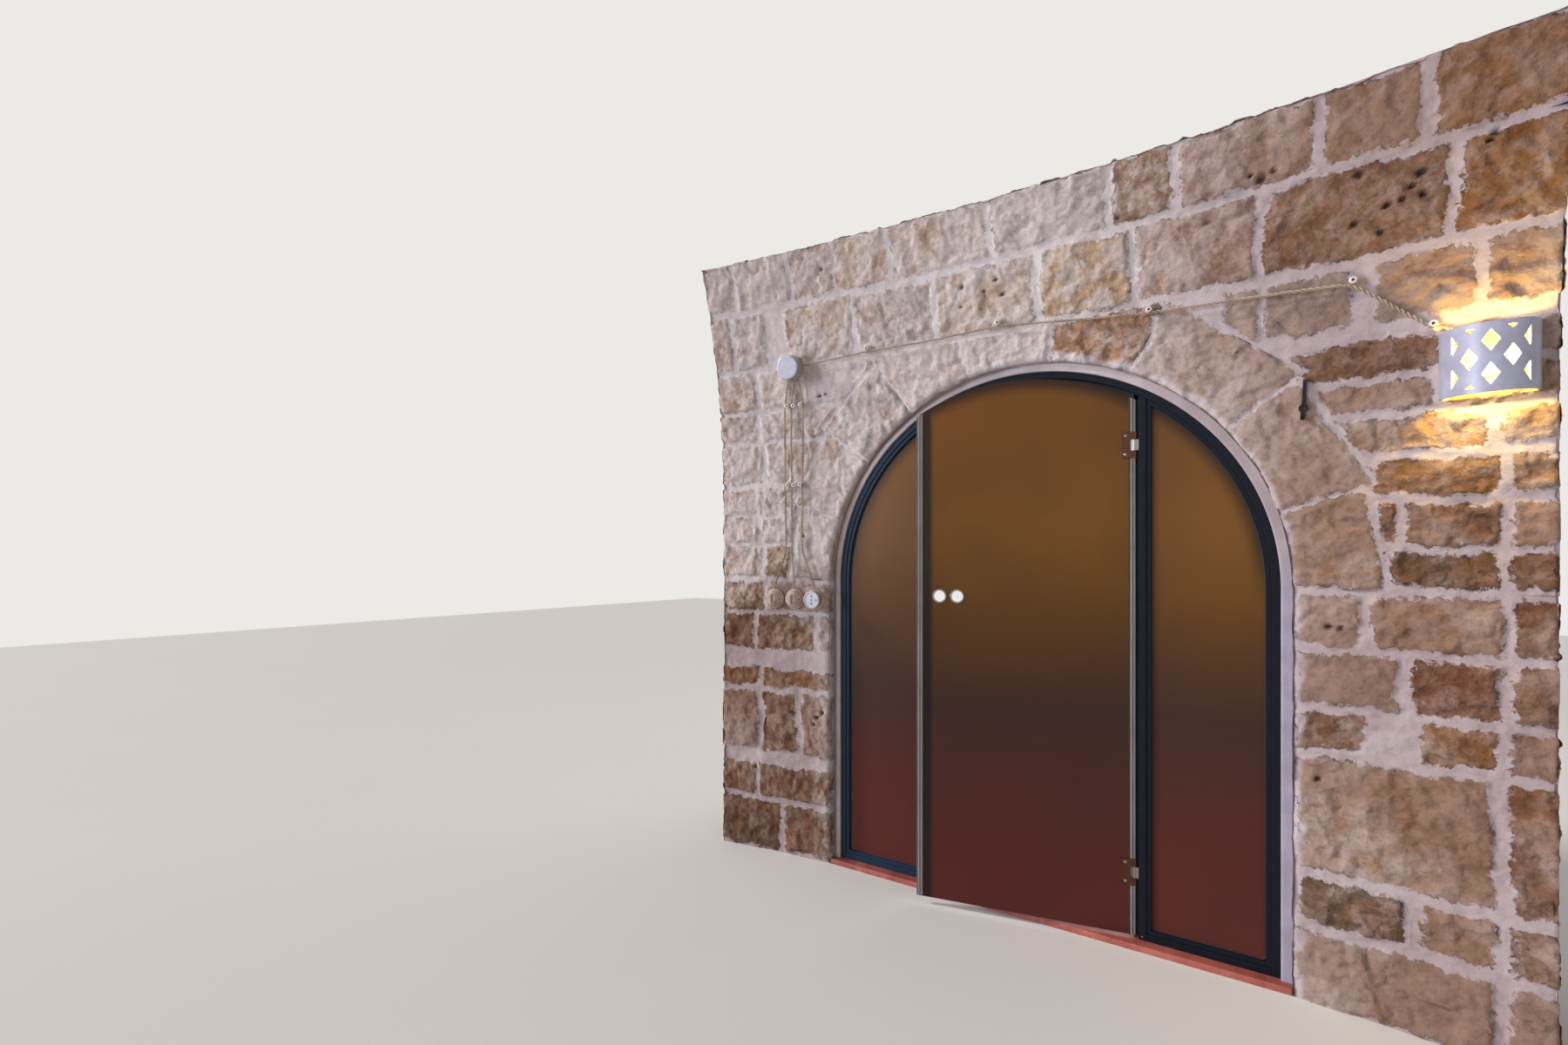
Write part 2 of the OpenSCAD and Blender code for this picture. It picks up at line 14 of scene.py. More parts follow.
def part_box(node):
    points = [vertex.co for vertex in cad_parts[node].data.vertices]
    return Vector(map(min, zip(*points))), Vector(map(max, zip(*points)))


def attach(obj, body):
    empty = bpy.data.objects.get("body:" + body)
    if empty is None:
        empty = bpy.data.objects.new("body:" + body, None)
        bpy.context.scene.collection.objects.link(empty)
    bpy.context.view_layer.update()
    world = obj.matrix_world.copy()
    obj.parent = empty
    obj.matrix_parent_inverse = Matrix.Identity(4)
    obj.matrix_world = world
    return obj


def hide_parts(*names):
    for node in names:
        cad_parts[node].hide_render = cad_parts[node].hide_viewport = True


bl_info = {
    "name": "Trullo Doorway",
    "version": (1, 0, 0),
    "blender": (4, 5, 0),
    "location": "3D View > Sidebar > Trullo",
    "description": "Dresses an arched glazed doorway in a bay of limestone wall",
    "category": "Object",
}

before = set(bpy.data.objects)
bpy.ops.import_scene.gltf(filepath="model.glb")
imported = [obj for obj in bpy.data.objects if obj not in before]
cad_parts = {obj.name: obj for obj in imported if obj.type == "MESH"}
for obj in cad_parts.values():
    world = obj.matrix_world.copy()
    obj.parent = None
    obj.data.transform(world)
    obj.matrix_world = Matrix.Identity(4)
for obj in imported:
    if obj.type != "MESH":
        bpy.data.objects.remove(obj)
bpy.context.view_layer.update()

MM = 0.001

# The wall's form, in mm, as the CAD model has it
HALF_W = max(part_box("upper_course_over_arch")[1].x, 0) / MM
WALL_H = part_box("upper_course_over_arch")[1].z / MM
WALL_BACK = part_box("left_pier")[1].y / MM
CROWN_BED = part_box("lower_course_over_arch")[0].z / MM
UPPER_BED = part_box("upper_course_over_arch")[0].z / MM
SPRING_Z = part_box("left_pier")[1].z / MM
MASON_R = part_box("right_pier")[0].x / MM
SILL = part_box("threshold")[1].z / MM
LINING_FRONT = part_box("lime_lining")[0].y / MM
PLAN_R = 8000.0
FACE_LEAD = 12.0
LEAN_Z = 1530.0
LEAN_R = 3200.0
JOINT_DEG = [0, 17, 38, 63, 83, 104, 123, 142, 161, 180]
TO_BED = 900  # depth of a ring stone that runs up to the bed of the course above
STONE_DEPTH = [205, 225, 240, TO_BED, TO_BED, TO_BED, 250, 225, 195]

# The screen and the leaf, in mm
FRAME_R = 750.0
INNER_R = 728.0
LINING_OUT = 777.3
MULL_IN = 370.0
MULL_OUT = 392.0
RAIL_TOP = 42.0
LIGHT_INSET = 14.0
GASKET_INSET = 15.2
GLASS_T = 8.0
LEAF_INSET = 6.0
LEAF_AJAR = 12.0
PIN = (355.0, 10.0)
LEAF_LEFT = -365.0
GLASS_LEFT = -354.0
GLASS_RIGHT = 349.0
SEAL_RIGHT = 361.0
LEAF_TOP_R = 714.0
LEAF_LOW = 28.0
STRIKE_LIP = 27.0
HINGE_LIP = 22.0
CLAMP_HALF = 44.5
CLAMP_OUT = 3.0
CLAMP_SCREW = (26.0, 31.0)  # how far in from the pin, and how far up or down
GLASS_TALL = 1.9
SEAL_T = 1.5
STOP_Y = 24.0
STOP_W = 17.0
STOP_T = 9.0
HINGE_Z = (234.0, 1645.0)

# The fittings on the wall, in mm: x and z of each, and for the box its width and depth too
BOX = (-920.0, 2067.0, 102.0, 56.0)
SOCKET_X = -843.0
SWITCH_PITCH = 94.0
SWITCH_Z = 1097.0
SWITCH_D = 86.0
COVER_SCREW = (31.0, 26.5)  # how far from the switch's axis, and how far out
SOCKET_WELL = (30.9, 30.5)  # its radius, and how far out its floor begins
SOCKET_FACE = 36.0
PIN_PITCH = 15.0
HOOK = (803.0, 1724.0)
SHADE = (1172.0, 1765.0)
LAMP_Z = 1735.0
KNOB_D = 19.0
KNOB_WELL = 20.4
CABLE_D = 7.0
CABLE_OFF = 14.0
SEAT = 0.3
KNOBS = (
    (-953, 1915), (-923, 1914), (-889, 1915), (-965, 1582), (-935, 1581), (-905, 1582),
    (-580, 2099), (-69, 2109), (411, 2058), (909, 2027), (1070, 1878),
)

# The camera that the photo was fitted with, and half the floor's width, in metres and degrees
PHOTO_SPOT = (0.702, -2.544, 1.273)
PHOTO_TURN = 34.4
PHOTO_SHIFT = 0.0224
FLOOR_HALF = 14.0


# ---------------------------------------------------------------- wall form


def lean_at(z):
    """How far the hollow face has come forward at height z, in mm."""
    up = np.maximum(np.asarray(z, float) - LEAN_Z, 0)
    return LEAN_R - np.sqrt(LEAN_R**2 - up**2)


def face_y(x, z):
    """Depth of the room face at x, z, in mm."""
    return np.sqrt((PLAN_R - lean_at(z)) ** 2 - np.asarray(x, float) ** 2) - PLAN_R - FACE_LEAD


def face_frame(x, z, reach=0.0):
    """Matrix, in metres, of a fitting's seat on the room face: Z points into the room and Y up the wall.

    reach is how far from its middle the fitting touches the curved face, in mm."""
    turn = math.asin(x / (PLAN_R - float(lean_at(z))))
    lean = math.asin(max(z - LEAN_Z, 0) / LEAN_R)
    rise = reach**2 / 2 * (1 / PLAN_R + (1 / LEAN_R if z > LEAN_Z else 0))
    return (
        Matrix.Translation(Vector((x, float(face_y(x, z)), z)) * MM)
        @ Matrix.Rotation(-turn, 4, "Z")
        @ Matrix.Rotation(math.pi / 2 + lean, 4, "X")
        @ Matrix.Translation((0, 0, (rise + SEAT) * MM))
    )


def off_face(x, z, off):
    """A point that stands off the room face by off mm, in mm."""
    turn = math.asin(x / (PLAN_R - float(lean_at(z))))
    lean = math.asin(max(z - LEAN_Z, 0) / LEAN_R)
    out = Vector((math.sin(turn) * math.cos(lean), math.cos(turn) * math.cos(lean), math.sin(lean)))
    return Vector((x, float(face_y(x, z)), z)) - off * out


def leaf_matrix():
    """Matrix, in metres, that turns the closed leaf ajar about its pins."""
    pin = Vector((PIN[0], PIN[1], 0)) * MM
    return Matrix.Translation(pin) @ Matrix.Rotation(math.radians(LEAF_AJAR), 4, "Z") @ Matrix.Translation(-pin)


# ---------------------------------------------------------------- nodes and materials

NOISE = "ShaderNodeTexNoise"
CELLS = "ShaderNodeTexVoronoi"
RANGE = "ShaderNodeMapRange"
RAMP = "ShaderNodeValToRGB"
MIX = "ShaderNodeMix"
MATHS = "ShaderNodeMath"
VECTORS = "ShaderNodeVectorMath"
SPLIT = "ShaderNodeSeparateXYZ"
UNITE = "ShaderNodeCombineXYZ"
MARK = "ShaderNodeAttribute"
BUMP = "ShaderNodeBump"

# Settings that many nodes share: a range with soft ends, a mix of two colours, and one that multiplies them
EASED = {"interpolation_type": "SMOOTHSTEP"}
BLEND = {"data_type": "RGBA"}
DARKEN = {"data_type": "RGBA", "blend_type": "MULTIPLY"}


def linear(colour, alpha=1.0):
    """sRGB hex to the linear RGBA that shaders take."""
    rgb = [int(colour[i : i + 2], 16) / 255 for i in (1, 3, 5)]
    return [c / 12.92 if c <= 0.04045 else ((c + 0.055) / 1.055) ** 2.4 for c in rgb] + [alpha]


def srgb(value):
    """A colour property, which bpy keeps linear, as linear RGBA."""
    return [value[0], value[1], value[2], 1.0]


def per(size_mm):
    """The scale of a noise whose lumps are about size_mm across."""
    return 1000.0 / size_mm / 1.6


def feed(node, inputs):
    """Sets a node's sockets, given by name or as a list in the order that the node shows them.

    Each takes a value, an output of another node, or the other node itself for the first output it shows."""
    shown = [socket for socket in node.inputs if socket.enabled]
    pairs = inputs.items() if isinstance(inputs, dict) else enumerate(inputs)
    for key, value in pairs:
        socket = node.inputs[key] if isinstance(key, str) else shown[key]
        if isinstance(value, bpy.types.Node):
            value = next(out for out in value.outputs if out.enabled)
        if isinstance(value, bpy.types.NodeSocket):
            node.id_data.links.new(value, socket)
        else:
            socket.default_value = value


def add(tree, kind, inputs=(), stops=(), **settings):
    """Adds a node in the next place of a grid, with its settings and links; stops are a colour ramp's marks."""
    node = tree.nodes.new(kind)
    node.location = (260 * (len(tree.nodes) % 9), -320 * (len(tree.nodes) // 9))
    for key, value in settings.items():
        setattr(node, key, value)
    if stops:
        marks = node.color_ramp.elements
        while len(marks) < len(stops):
            marks.new(0.5)
        for mark, (place, colour) in zip(marks, stops):
            mark.position = place
            mark.color = colour
    feed(node, inputs)
    return node


def new_material(name):
    """A material, what adds its nodes, the piece's own coordinates in metres, and its Principled shader."""
    mat = bpy.data.materials.get(name) or bpy.data.materials.new(name)
    mat.use_nodes = True
    mat.node_tree.nodes.clear()
    put = partial(add, mat.node_tree)
    shader = put("ShaderNodeBsdfPrincipled")
    put("ShaderNodeOutputMaterial", [shader])
    return mat, put, put("ShaderNodeTexCoord").outputs["Object"], shader


# ---------------------------------------------------------------- meshes


def piece(name, mesh, mat=None, body="root", nodes=()):
    """Puts a finished mesh in the scene at the origin, riding on its body and standing for its CAD nodes.

    Without mat it keeps the materials that its mesh has."""
    obj = scratch(name, mesh)
    if mat is not None:
        mesh.materials.clear()
        mesh.materials.append(mat)
    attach(obj, body)
    if nodes:
        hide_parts(*nodes)
    return obj


def baked(obj):
    """The evaluated mesh of obj as a plain mesh; obj itself is removed."""
    graph = bpy.context.evaluated_depsgraph_get()
    graph.update()
    mesh = bpy.data.meshes.new_from_object(obj.evaluated_get(graph))
    name = obj.name
    old = obj.data
    bpy.data.objects.remove(obj)
    if isinstance(old, bpy.types.Mesh) and not old.users:
        bpy.data.meshes.remove(old)
    mesh.name = name
    return mesh


def scratch(name, data):
    """A mesh, a lamp or a camera in an object of its own in the scene."""
    obj = bpy.data.objects.new(name, data)
    bpy.context.scene.collection.objects.link(obj)
    return obj


def smooth(mesh, angle_deg=35.0):
    """Shades a mesh smooth, with edges sharper than the angle kept sharp."""
    mesh.polygons.foreach_set("use_smooth", [True] * len(mesh.polygons))
    mesh.set_sharp_from_angle(angle=math.radians(angle_deg))


def node_copy(*names):
    """Copies of CAD nodes as one merged mesh, with its doubles joined."""
    work = bmesh.new()
    for name in names:
        work.from_mesh(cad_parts[name].data)
    bmesh.ops.remove_doubles(work, verts=work.verts, dist=1e-6)
    flat = math.radians(0.4)
    bmesh.ops.dissolve_limit(work, angle_limit=flat, verts=work.verts, edges=work.edges, delimit={"NORMAL"})
    mesh = bpy.data.meshes.new(names[0] + "_copy")
    work.to_mesh(mesh)
    work.free()
    return mesh


def softened(name, mesh, width_mm, segments):
    """The mesh with edges sharper than 32 degrees rounded over by width_mm, and flat faces shaded flat."""
    obj = scratch(name, mesh)
    mod = obj.modifiers.new("Rounded edges", "BEVEL")
    mod.width = width_mm * MM
    mod.segments = segments
    mod.limit_method = "ANGLE"
    mod.angle_limit = math.radians(32.0)
    rounded_mesh = baked(obj)
    smooth(rounded_mesh)
    obj = scratch(name, rounded_mesh)
    obj.modifiers.new("Flat faces stay flat", "WEIGHTED_NORMAL").keep_sharp = True
    return baked(obj)


def soft_node(node, mat, width_mm, body="root", segments=2):
    """A CAD node with rounded edges in its finish, standing for that node."""
    name = node + "_dressed"
    return piece(name, softened(name, node_copy(node), width_mm, segments), mat, body, (node,))


def ring_of(work, radius, height, steps):
    """A ring of points round Z, or one point where the radius is 0, in mm."""
    if radius < 1e-6:
        return [work.verts.new((0, 0, height * MM))]
    turns = [2 * math.pi * k / steps for k in range(steps)]
    return [work.verts.new((radius * MM * math.cos(a), radius * MM * math.sin(a), height * MM)) for a in turns]


def band(work, one, two):
    """Faces between two rings, either of which may be one point."""
    steps = max(len(one), len(two))
    for k in range(steps):
        n = (k + 1) % steps
        corners = [one[k % len(one)], one[n % len(one)], two[n % len(two)], two[k % len(two)]]
        work.faces.new(list(dict.fromkeys(corners)))


def swept(work, rings):
    """Faces between each ring and the next, and one across each end."""
    for one, two in zip(rings, rings[1:]):
        band(work, one, two)
    work.faces.new(rings[0][::-1])
    work.faces.new(rings[-1])


def finished(name, work, angle_deg, matrix=None):
    """The working mesh as a plain one: faces outwards, placed by matrix, smooth but for sharper edges."""
    bmesh.ops.recalc_face_normals(work, faces=work.faces)
    if matrix is not None:
        work.transform(matrix)
    mesh = bpy.data.meshes.new(name)
    work.to_mesh(mesh)
    work.free()
    smooth(mesh, angle_deg)
    return mesh


def lathe(name, profile, matrix, steps):
    """A closed solid turned from (radius, height) mm points, placed by matrix."""
    work = bmesh.new()
    rings = [ring_of(work, radius, height, steps) for radius, height in profile]
    for one, two in zip(rings, rings[1:]):
        band(work, one, two)
    return finished(name, work, 30, matrix)


def joined(name, meshes):
    """Several meshes as one; each keeps its material slots."""
    work = bmesh.new()
    slots = []
    for mesh in meshes:
        start = len(work.faces)
        work.from_mesh(mesh)
        work.faces.ensure_lookup_table()
        shift = len(slots)
        slots.extend(list(mesh.materials) or [None])
        for face in work.faces[start:]:
            face.material_index += shift
    out = bpy.data.meshes.new(name)
    work.to_mesh(out)
    work.free()
    for mat in slots:
        out.materials.append(mat)
    for mesh in meshes:
        bpy.data.meshes.remove(mesh)
    return out


# ---------------------------------------------------------------- masonry

# Stone colours, and how far the old lime wash still covers each kind
TONES = {
    "white": ("#d0c4be", 0.9), "pale": ("#c8b8ae", 0.84), "cream": ("#c4af9c", 0.76),
    "pink": ("#bda59a", 0.74), "grey": ("#b3a7a5", 0.8), "lavender": ("#cdc8ce", 0.9),
    "ochre": ("#b99b78", 0.66), "orange": ("#b38d5f", 0.56), "brown": ("#a4876f", 0.6),
    "umber": ("#8f7b67", 0.52), "red": ("#a07762", 0.52), "russet": ("#a98468", 0.52),
}

# Each stone of the bay, in mm: rows of (low, high, ((left, right, tone), ...))
STONES = {
    "left_pier": (
        (6, 212, ((-1306, -1008, "umber"), (-988, -774, "brown"))),
        (232, 372, ((-1306, -1134, "brown"), (-1118, -774, "brown"))),
        (432, 690, ((-1306, -1124, "pink"), (-1100, -936, "brown"), (-912, -774, "pink"))),
        (712, 792, ((-1306, -1112, "orange"), (-1096, -774, "ochre"))),
        (878, 1028, ((-1306, -1146, "brown"), (-1128, -856, "brown"), (-836, -774, "grey"))),
        (1044, 1170, ((-1306, -1084, "brown"), (-1062, -774, "pink"))),
    ),
    "right_pier": (
        (6, 206, ((774, 1188, "pale"), (1212, 1306, "grey"))),
        (232, 358, ((790, 1026, "umber"), (1052, 1196, "cream"), (1216, 1306, "brown"))),
        (384, 706, ((782, 1186, "cream"), (1212, 1306, "brown"))),
        (730, 836, ((784, 936, "brown"), (1048, 1198, "orange"), (1216, 1306, "cream"))),
        (854, 1004, ((784, 1006, "grey"), (1032, 1200, "red"), (1218, 1306, "brown"))),
        (1022, 1170, ((786, 930, "white"), (952, 1198, "cream"), (1216, 1306, "brown"))),
    ),
    "left_spandrel": (
        (1190, 1320, ((-1306, -1106, "pink"), (-1086, -886, "brown"), (-870, -690, "pale"))),
        (1336, 1446, ((-1306, -1130, "pale"), (-1112, -894, "grey"), (-876, -690, "pale"))),
        (1462, 1576, ((-1306, -1136, "pale"), (-1114, -906, "grey"), (-888, -600, "pale"))),
        (1594, 1768, ((-1306, -1106, "pale"), (-1082, -842, "pale"), (-824, -560, "white"))),
        (1784, 1898, ((-1306, -1122, "pink"), (-1102, -902, "pale"), (-886, -500, "pale"))),
        (1914, 2070, (
            (-1306, -1114, "pink"), (-1092, -902, "pale"), (-886, -640, "lavender"), (-622, -540, "pale"),
        )),
    ),
    "right_spandrel": (
        (1190, 1286, ((830, 978, "red"), (994, 1198, "umber"), (1216, 1306, "brown"))),
        (1302, 1418, ((900, 1000, "red"), (1014, 1198, "brown"), (1216, 1306, "cream"))),
        (1438, 1530, ((860, 1196, "orange"), (1216, 1306, "ochre"))),
        (1558, 1650, ((820, 1178, "ochre"), (1200, 1306, "cream"))),
        (1668, 1750, ((780, 1078, "cream"), (1102, 1306, "ochre"))),
        (1770, 1862, ((740, 1084, "brown"), (1104, 1306, "cream"))),
        (1906, 2068, ((600, 700, "pale"), (712, 904, "grey"), (950, 1148, "pale"), (1170, 1306, "cream"))),
    ),
    "lower_course_over_arch": (
        (2092, 2310, (
            (-1306, -1208, "pink"), (-1186, -1036, "grey"), (-934, -642, "cream"), (-622, -312, "grey"),
            (-292, 48, "cream"), (72, 350, "ochre"), (372, 688, "pink"), (710, 1090, "brown"),
            (1112, 1306, "orange"),
        )),
    ),
    "upper_course_over_arch": (
        (2332, 2512, (
            (-1306, -1164, "grey"), (-1150, -904, "pale"), (-884, -700, "pink"), (-686, -474, "cream"),
            (-456, -92, "pale"), (-68, 290, "grey"), (312, 480, "brown"), (500, 826, "pink"),
            (848, 1040, "cream"), (1062, 1306, "ochre"),
        )),
    ),
}
RING_TONES = ("cream", "pale", "pale", "russet", "white", "pale", "grey", "pale", "white")

# Holes that worms and weather left in the stones: x, z and radius in mm
HOLES = (
    (860, 1077, 9), (885, 1075, 8), (-960, 610, 9), (-840, 600, 9), (-815, 620, 7), (-855, 570, 8),
    (-790, 1950, 8), (-815, 1945, 7), (915, 2295, 13), (1040, 2260, 13), (975, 2200, 10), (1005, 2205, 9),
    (1045, 2205, 11), (910, 2175, 10), (965, 2140, 9), (1022, 2232, 8), (-197, 2258, 10), (-75, 2258, 9),
    (-55, 2208, 9), (-205, 2190, 8), (-120, 2228, 7), (1170, 2300, 11), (1160, 2285, 8), (325, 2355, 9),
    (700, 2352, 13), (730, 2362, 9), (676, 2368, 8), (-750, 2425, 8), (-905, 1365, 8), (835, 640, 8),
)

# Where a fitting lies on the wall, the stone is dressed flat: x, z, half width, half height in mm
SEATS = (
    (BOX[0], BOX[1], 50, 50), (SOCKET_X, SWITCH_Z, 42, 42), (SOCKET_X - SWITCH_PITCH, SWITCH_Z, 42, 42),
    (SOCKET_X - 2 * SWITCH_PITCH, SWITCH_Z, 42, 42), (SHADE[0], SHADE[1], 88, 84), (HOOK[0], HOOK[1], 8, 54),
) + tuple((x, z, 8, 8) for x, z in KNOBS)


def hash01(cells, seed):
    """A steady random number between 0 and 1 for each row of whole numbers."""
    h = np.full(cells.shape[:-1], (seed * 374761393 + 668265263) & 0x7FFFFFFF, dtype=np.int64)
    for k, prime in zip(range(cells.shape[-1]), (73856093, 19349663, 83492791)):
        h = (h ^ (cells[..., k] * prime)) & 0x7FFFFFFF
        h = ((h ^ (h >> 13)) * 1274126177) & 0x7FFFFFFF
    return ((h ^ (h >> 15)) & 0xFFFFFF) / 0xFFFFFF


def lumps(p, size, seed, octaves=1):
    """Smooth noise between -1 and 1 whose lumps are about size mm across."""
    total, weight, norm = 0.0, 1.0, 0.0
    for octave in range(octaves):
        g = p / size
        cell = np.floor(g).astype(np.int64)
        f = g - cell
        w = f * f * f * (f * (f * 6 - 15) + 10)
        value = 0.0
        for i in (0, 1):
            for j in (0, 1):
                part = np.where(i, w[:, 0], 1 - w[:, 0]) * np.where(j, w[:, 1], 1 - w[:, 1])
                value = value + part * hash01(cell + (i, j), seed + 31 * octave)
        total = total + weight * (2 * value - 1)
        norm += weight
        weight *= 0.5
        size *= 0.5
    return total / norm


def facets(p, size, seed):
    """Flat facets with creases between them, between about -1 and 1, as limestone splits."""
    g = p / size
    cell = np.floor(g).astype(np.int64)
    total = np.zeros(len(p))
    norm = np.zeros(len(p))
    for i in (-1, 0, 1):
        for j in (-1, 0, 1):
            c = cell + (i, j)
            site = c + 0.15 + 0.7 * np.stack([hash01(c, seed), hash01(c, seed + 1)], axis=1)
            away = g - site
            w = np.exp(-42 * (away**2).sum(axis=1))
            slope = (2 * hash01(c, seed + 2) - 1) * away[:, 0] + (2 * hash01(c, seed + 3) - 1) * away[:, 1]
            total += w * (1.1 * slope + 0.6 * (2 * hash01(c, seed + 4) - 1))
            norm += w
    return total / norm


def step(value):
    """Smooth step of value held to 0..1."""
    t = np.clip(value, 0, 1)
    return t * t * (3 - 2 * t)


def stone_distance(p, stones, seed):
    """Signed distance in mm to the nearest stone's outline, below 0 inside it, and which stone that is."""
    q = p + np.stack([
        9 * lumps(p, 85, seed) + 5 * lumps(p, 31, seed + 1, 2),
        8 * lumps(p, 72, seed + 2) + 5 * lumps(p, 28, seed + 3, 2),
    ], axis=1)
    best = np.full(len(p), 1e3)
    which = np.zeros(len(p), dtype=np.int64)
    for k, (left, right, low, high, _) in enumerate(stones):
        corner = 6 + 14 * float(hash01(np.array([[k, seed]]), 9)[0])
        middle = ((left + right) / 2, (low + high) / 2)
        half = ((right - left) / 2 - corner, (high - low) / 2 - corner)
        d = np.abs(q - middle) - half
        away = np.hypot(*np.maximum(d, 0).T) + np.minimum(d.max(axis=1), 0) - corner
        closer = away < best
        best[closer] = away[closer]
        which[closer] = k
    return best, which


def stone_tints(stones):
    """Each stone's linear colour, with its share of lime wash as alpha."""
    return np.array([linear(*TONES[s[4]]) for s in stones])


def skin(p, away, which, seed, lime_seed, rough=1.0):
    """How far the weathered surface lies behind the drawn one, in mm, for stones and the mortar between them.

    lime_seed is the same for all nodes of one face, so that the mortar runs on across their joints."""
    look = bpy.context.scene.trullo_masonry
    offset = np.stack([which * 137.0, which * 71.0], axis=1)
    q = p + offset
    cell = np.stack([which, which * 0 + seed], axis=1)
    lay = 4.0 * hash01(cell, 5)
    bent = q + np.stack([9 * lumps(q, 46, seed + 18), 9 * lumps(q, 43, seed + 19)], axis=1)
    relief = 5.6 * facets(bent, 105, seed + 11)
    relief = relief + 5.2 * facets(bent, 49, seed + 12)
    relief = relief + 2.6 * facets(bent, 23, seed + 13)
    crack = np.clip(1 - np.abs(lumps(bent, 64, seed + 20)) * 9, 0, 1)
    chisel = lumps(q @ np.array([[0.82, -0.57], [0.57, 0.82]]) / (1.0, 4.5), 13, seed + 14)
    relief = relief + 2.2 * chisel * step(hash01(cell, 7) * 3 - 1.5)
    relief = relief + 3.0 * crack * step(hash01(cell, 8) * 2 - 0.6)
    stone = np.clip(lay + 4.6 + rough * look.relief / (3.4 * MM) * relief, 0, 19)
    smear = step(0.45 + 1.5 * lumps(p, 170, lime_seed))
    mortar = look.joint_depth / MM * (1 - 0.4 * smear) + 2.2 * lumps(p, 52, lime_seed + 1)
    mortar = mortar + 1.6 * lumps(p, 18, lime_seed + 2, 2)
    mortar = np.clip(mortar, 0.8, 20)
    bulge = np.clip(-away / (8 + 5 * lumps(p, 33, seed + 22)), 0, 1)
    return mortar + (stone - mortar) * step(bulge)


def bored(x, z, seed):
    """1 inside the stones' holes, falling to 0 round them."""
    ragged = 1 + 0.18 * lumps(np.stack([x, z], axis=1), 9, seed + 21)
    hollow = np.zeros(len(x))
    for cx, cz, radius in HOLES:
        far = np.hypot(x - cx, (z - cz) * 1.15) * ragged
        hollow = np.maximum(hollow, step((radius * 1.25 - far) / (radius * 0.8)))
    return hollow


def seat_fade(x, z):
    """0 where a fitting lies on the wall, 1 away from it."""
    keep = np.ones(len(x))
    for cx, cz, half_x, half_z in SEATS:
        away = np.hypot(np.maximum(np.abs(x - cx) - half_x, 0), np.maximum(np.abs(z - cz) - half_z, 0))
        keep *= step((away - 2) / 14)
    return keep


def rounded(away, radius):
    """How far a rounded arris of that radius lies behind its sharp corner, at a distance from it."""
    t = np.clip(1 - away / radius, 0, 1)
    return radius * (1 - np.sqrt(1 - t**2))


def row_stones(rows):
    """The stones of a table as (left, right, low, high, tone)."""
    return [(left, right, low, high, tone) for low, high, run in rows for left, right, tone in run]


def top_stones(rows):
    """The top row as it shows on the wall's top, two stones deep; the run is in x and y."""
    return [
        (left, right, -230 + 370 * k + 60 * (k > 0), 140 + 460 * k, tone if k else "pale")
        for _, _, row in rows for left, right, tone in row for k in (0, 1)
    ]


SIDES = ("low_u", "high_u", "low_v", "high_v")


def end_stones(rows, side):
    """The same rows as they show on the bay's end, split in the wall's depth; the run is in y."""
    found = []
    for k, (low, high, run) in enumerate(rows):
        tone = run[0][2] if side < 0 else run[-1][2]
        cut = 150 + 90 * math.sin(2.4 * k + side + low / 97)
        found.append((-190 if high > 1500 else -130, cut, low, high, tone))
        found.append((cut + 22, 420 + 50 * math.cos(1.9 * k), low, high, "cream" if k % 2 else "pink"))
        found.append((445 + 50 * math.cos(1.9 * k), 592, low, high, "grey"))
    return found


def quads_of(a):
    """The quads between neighbours in a grid of point numbers."""
    return np.stack([a[:-1, :-1], a[1:, :-1], a[1:, 1:], a[:-1, 1:]], axis=-1).reshape(-1, 4)


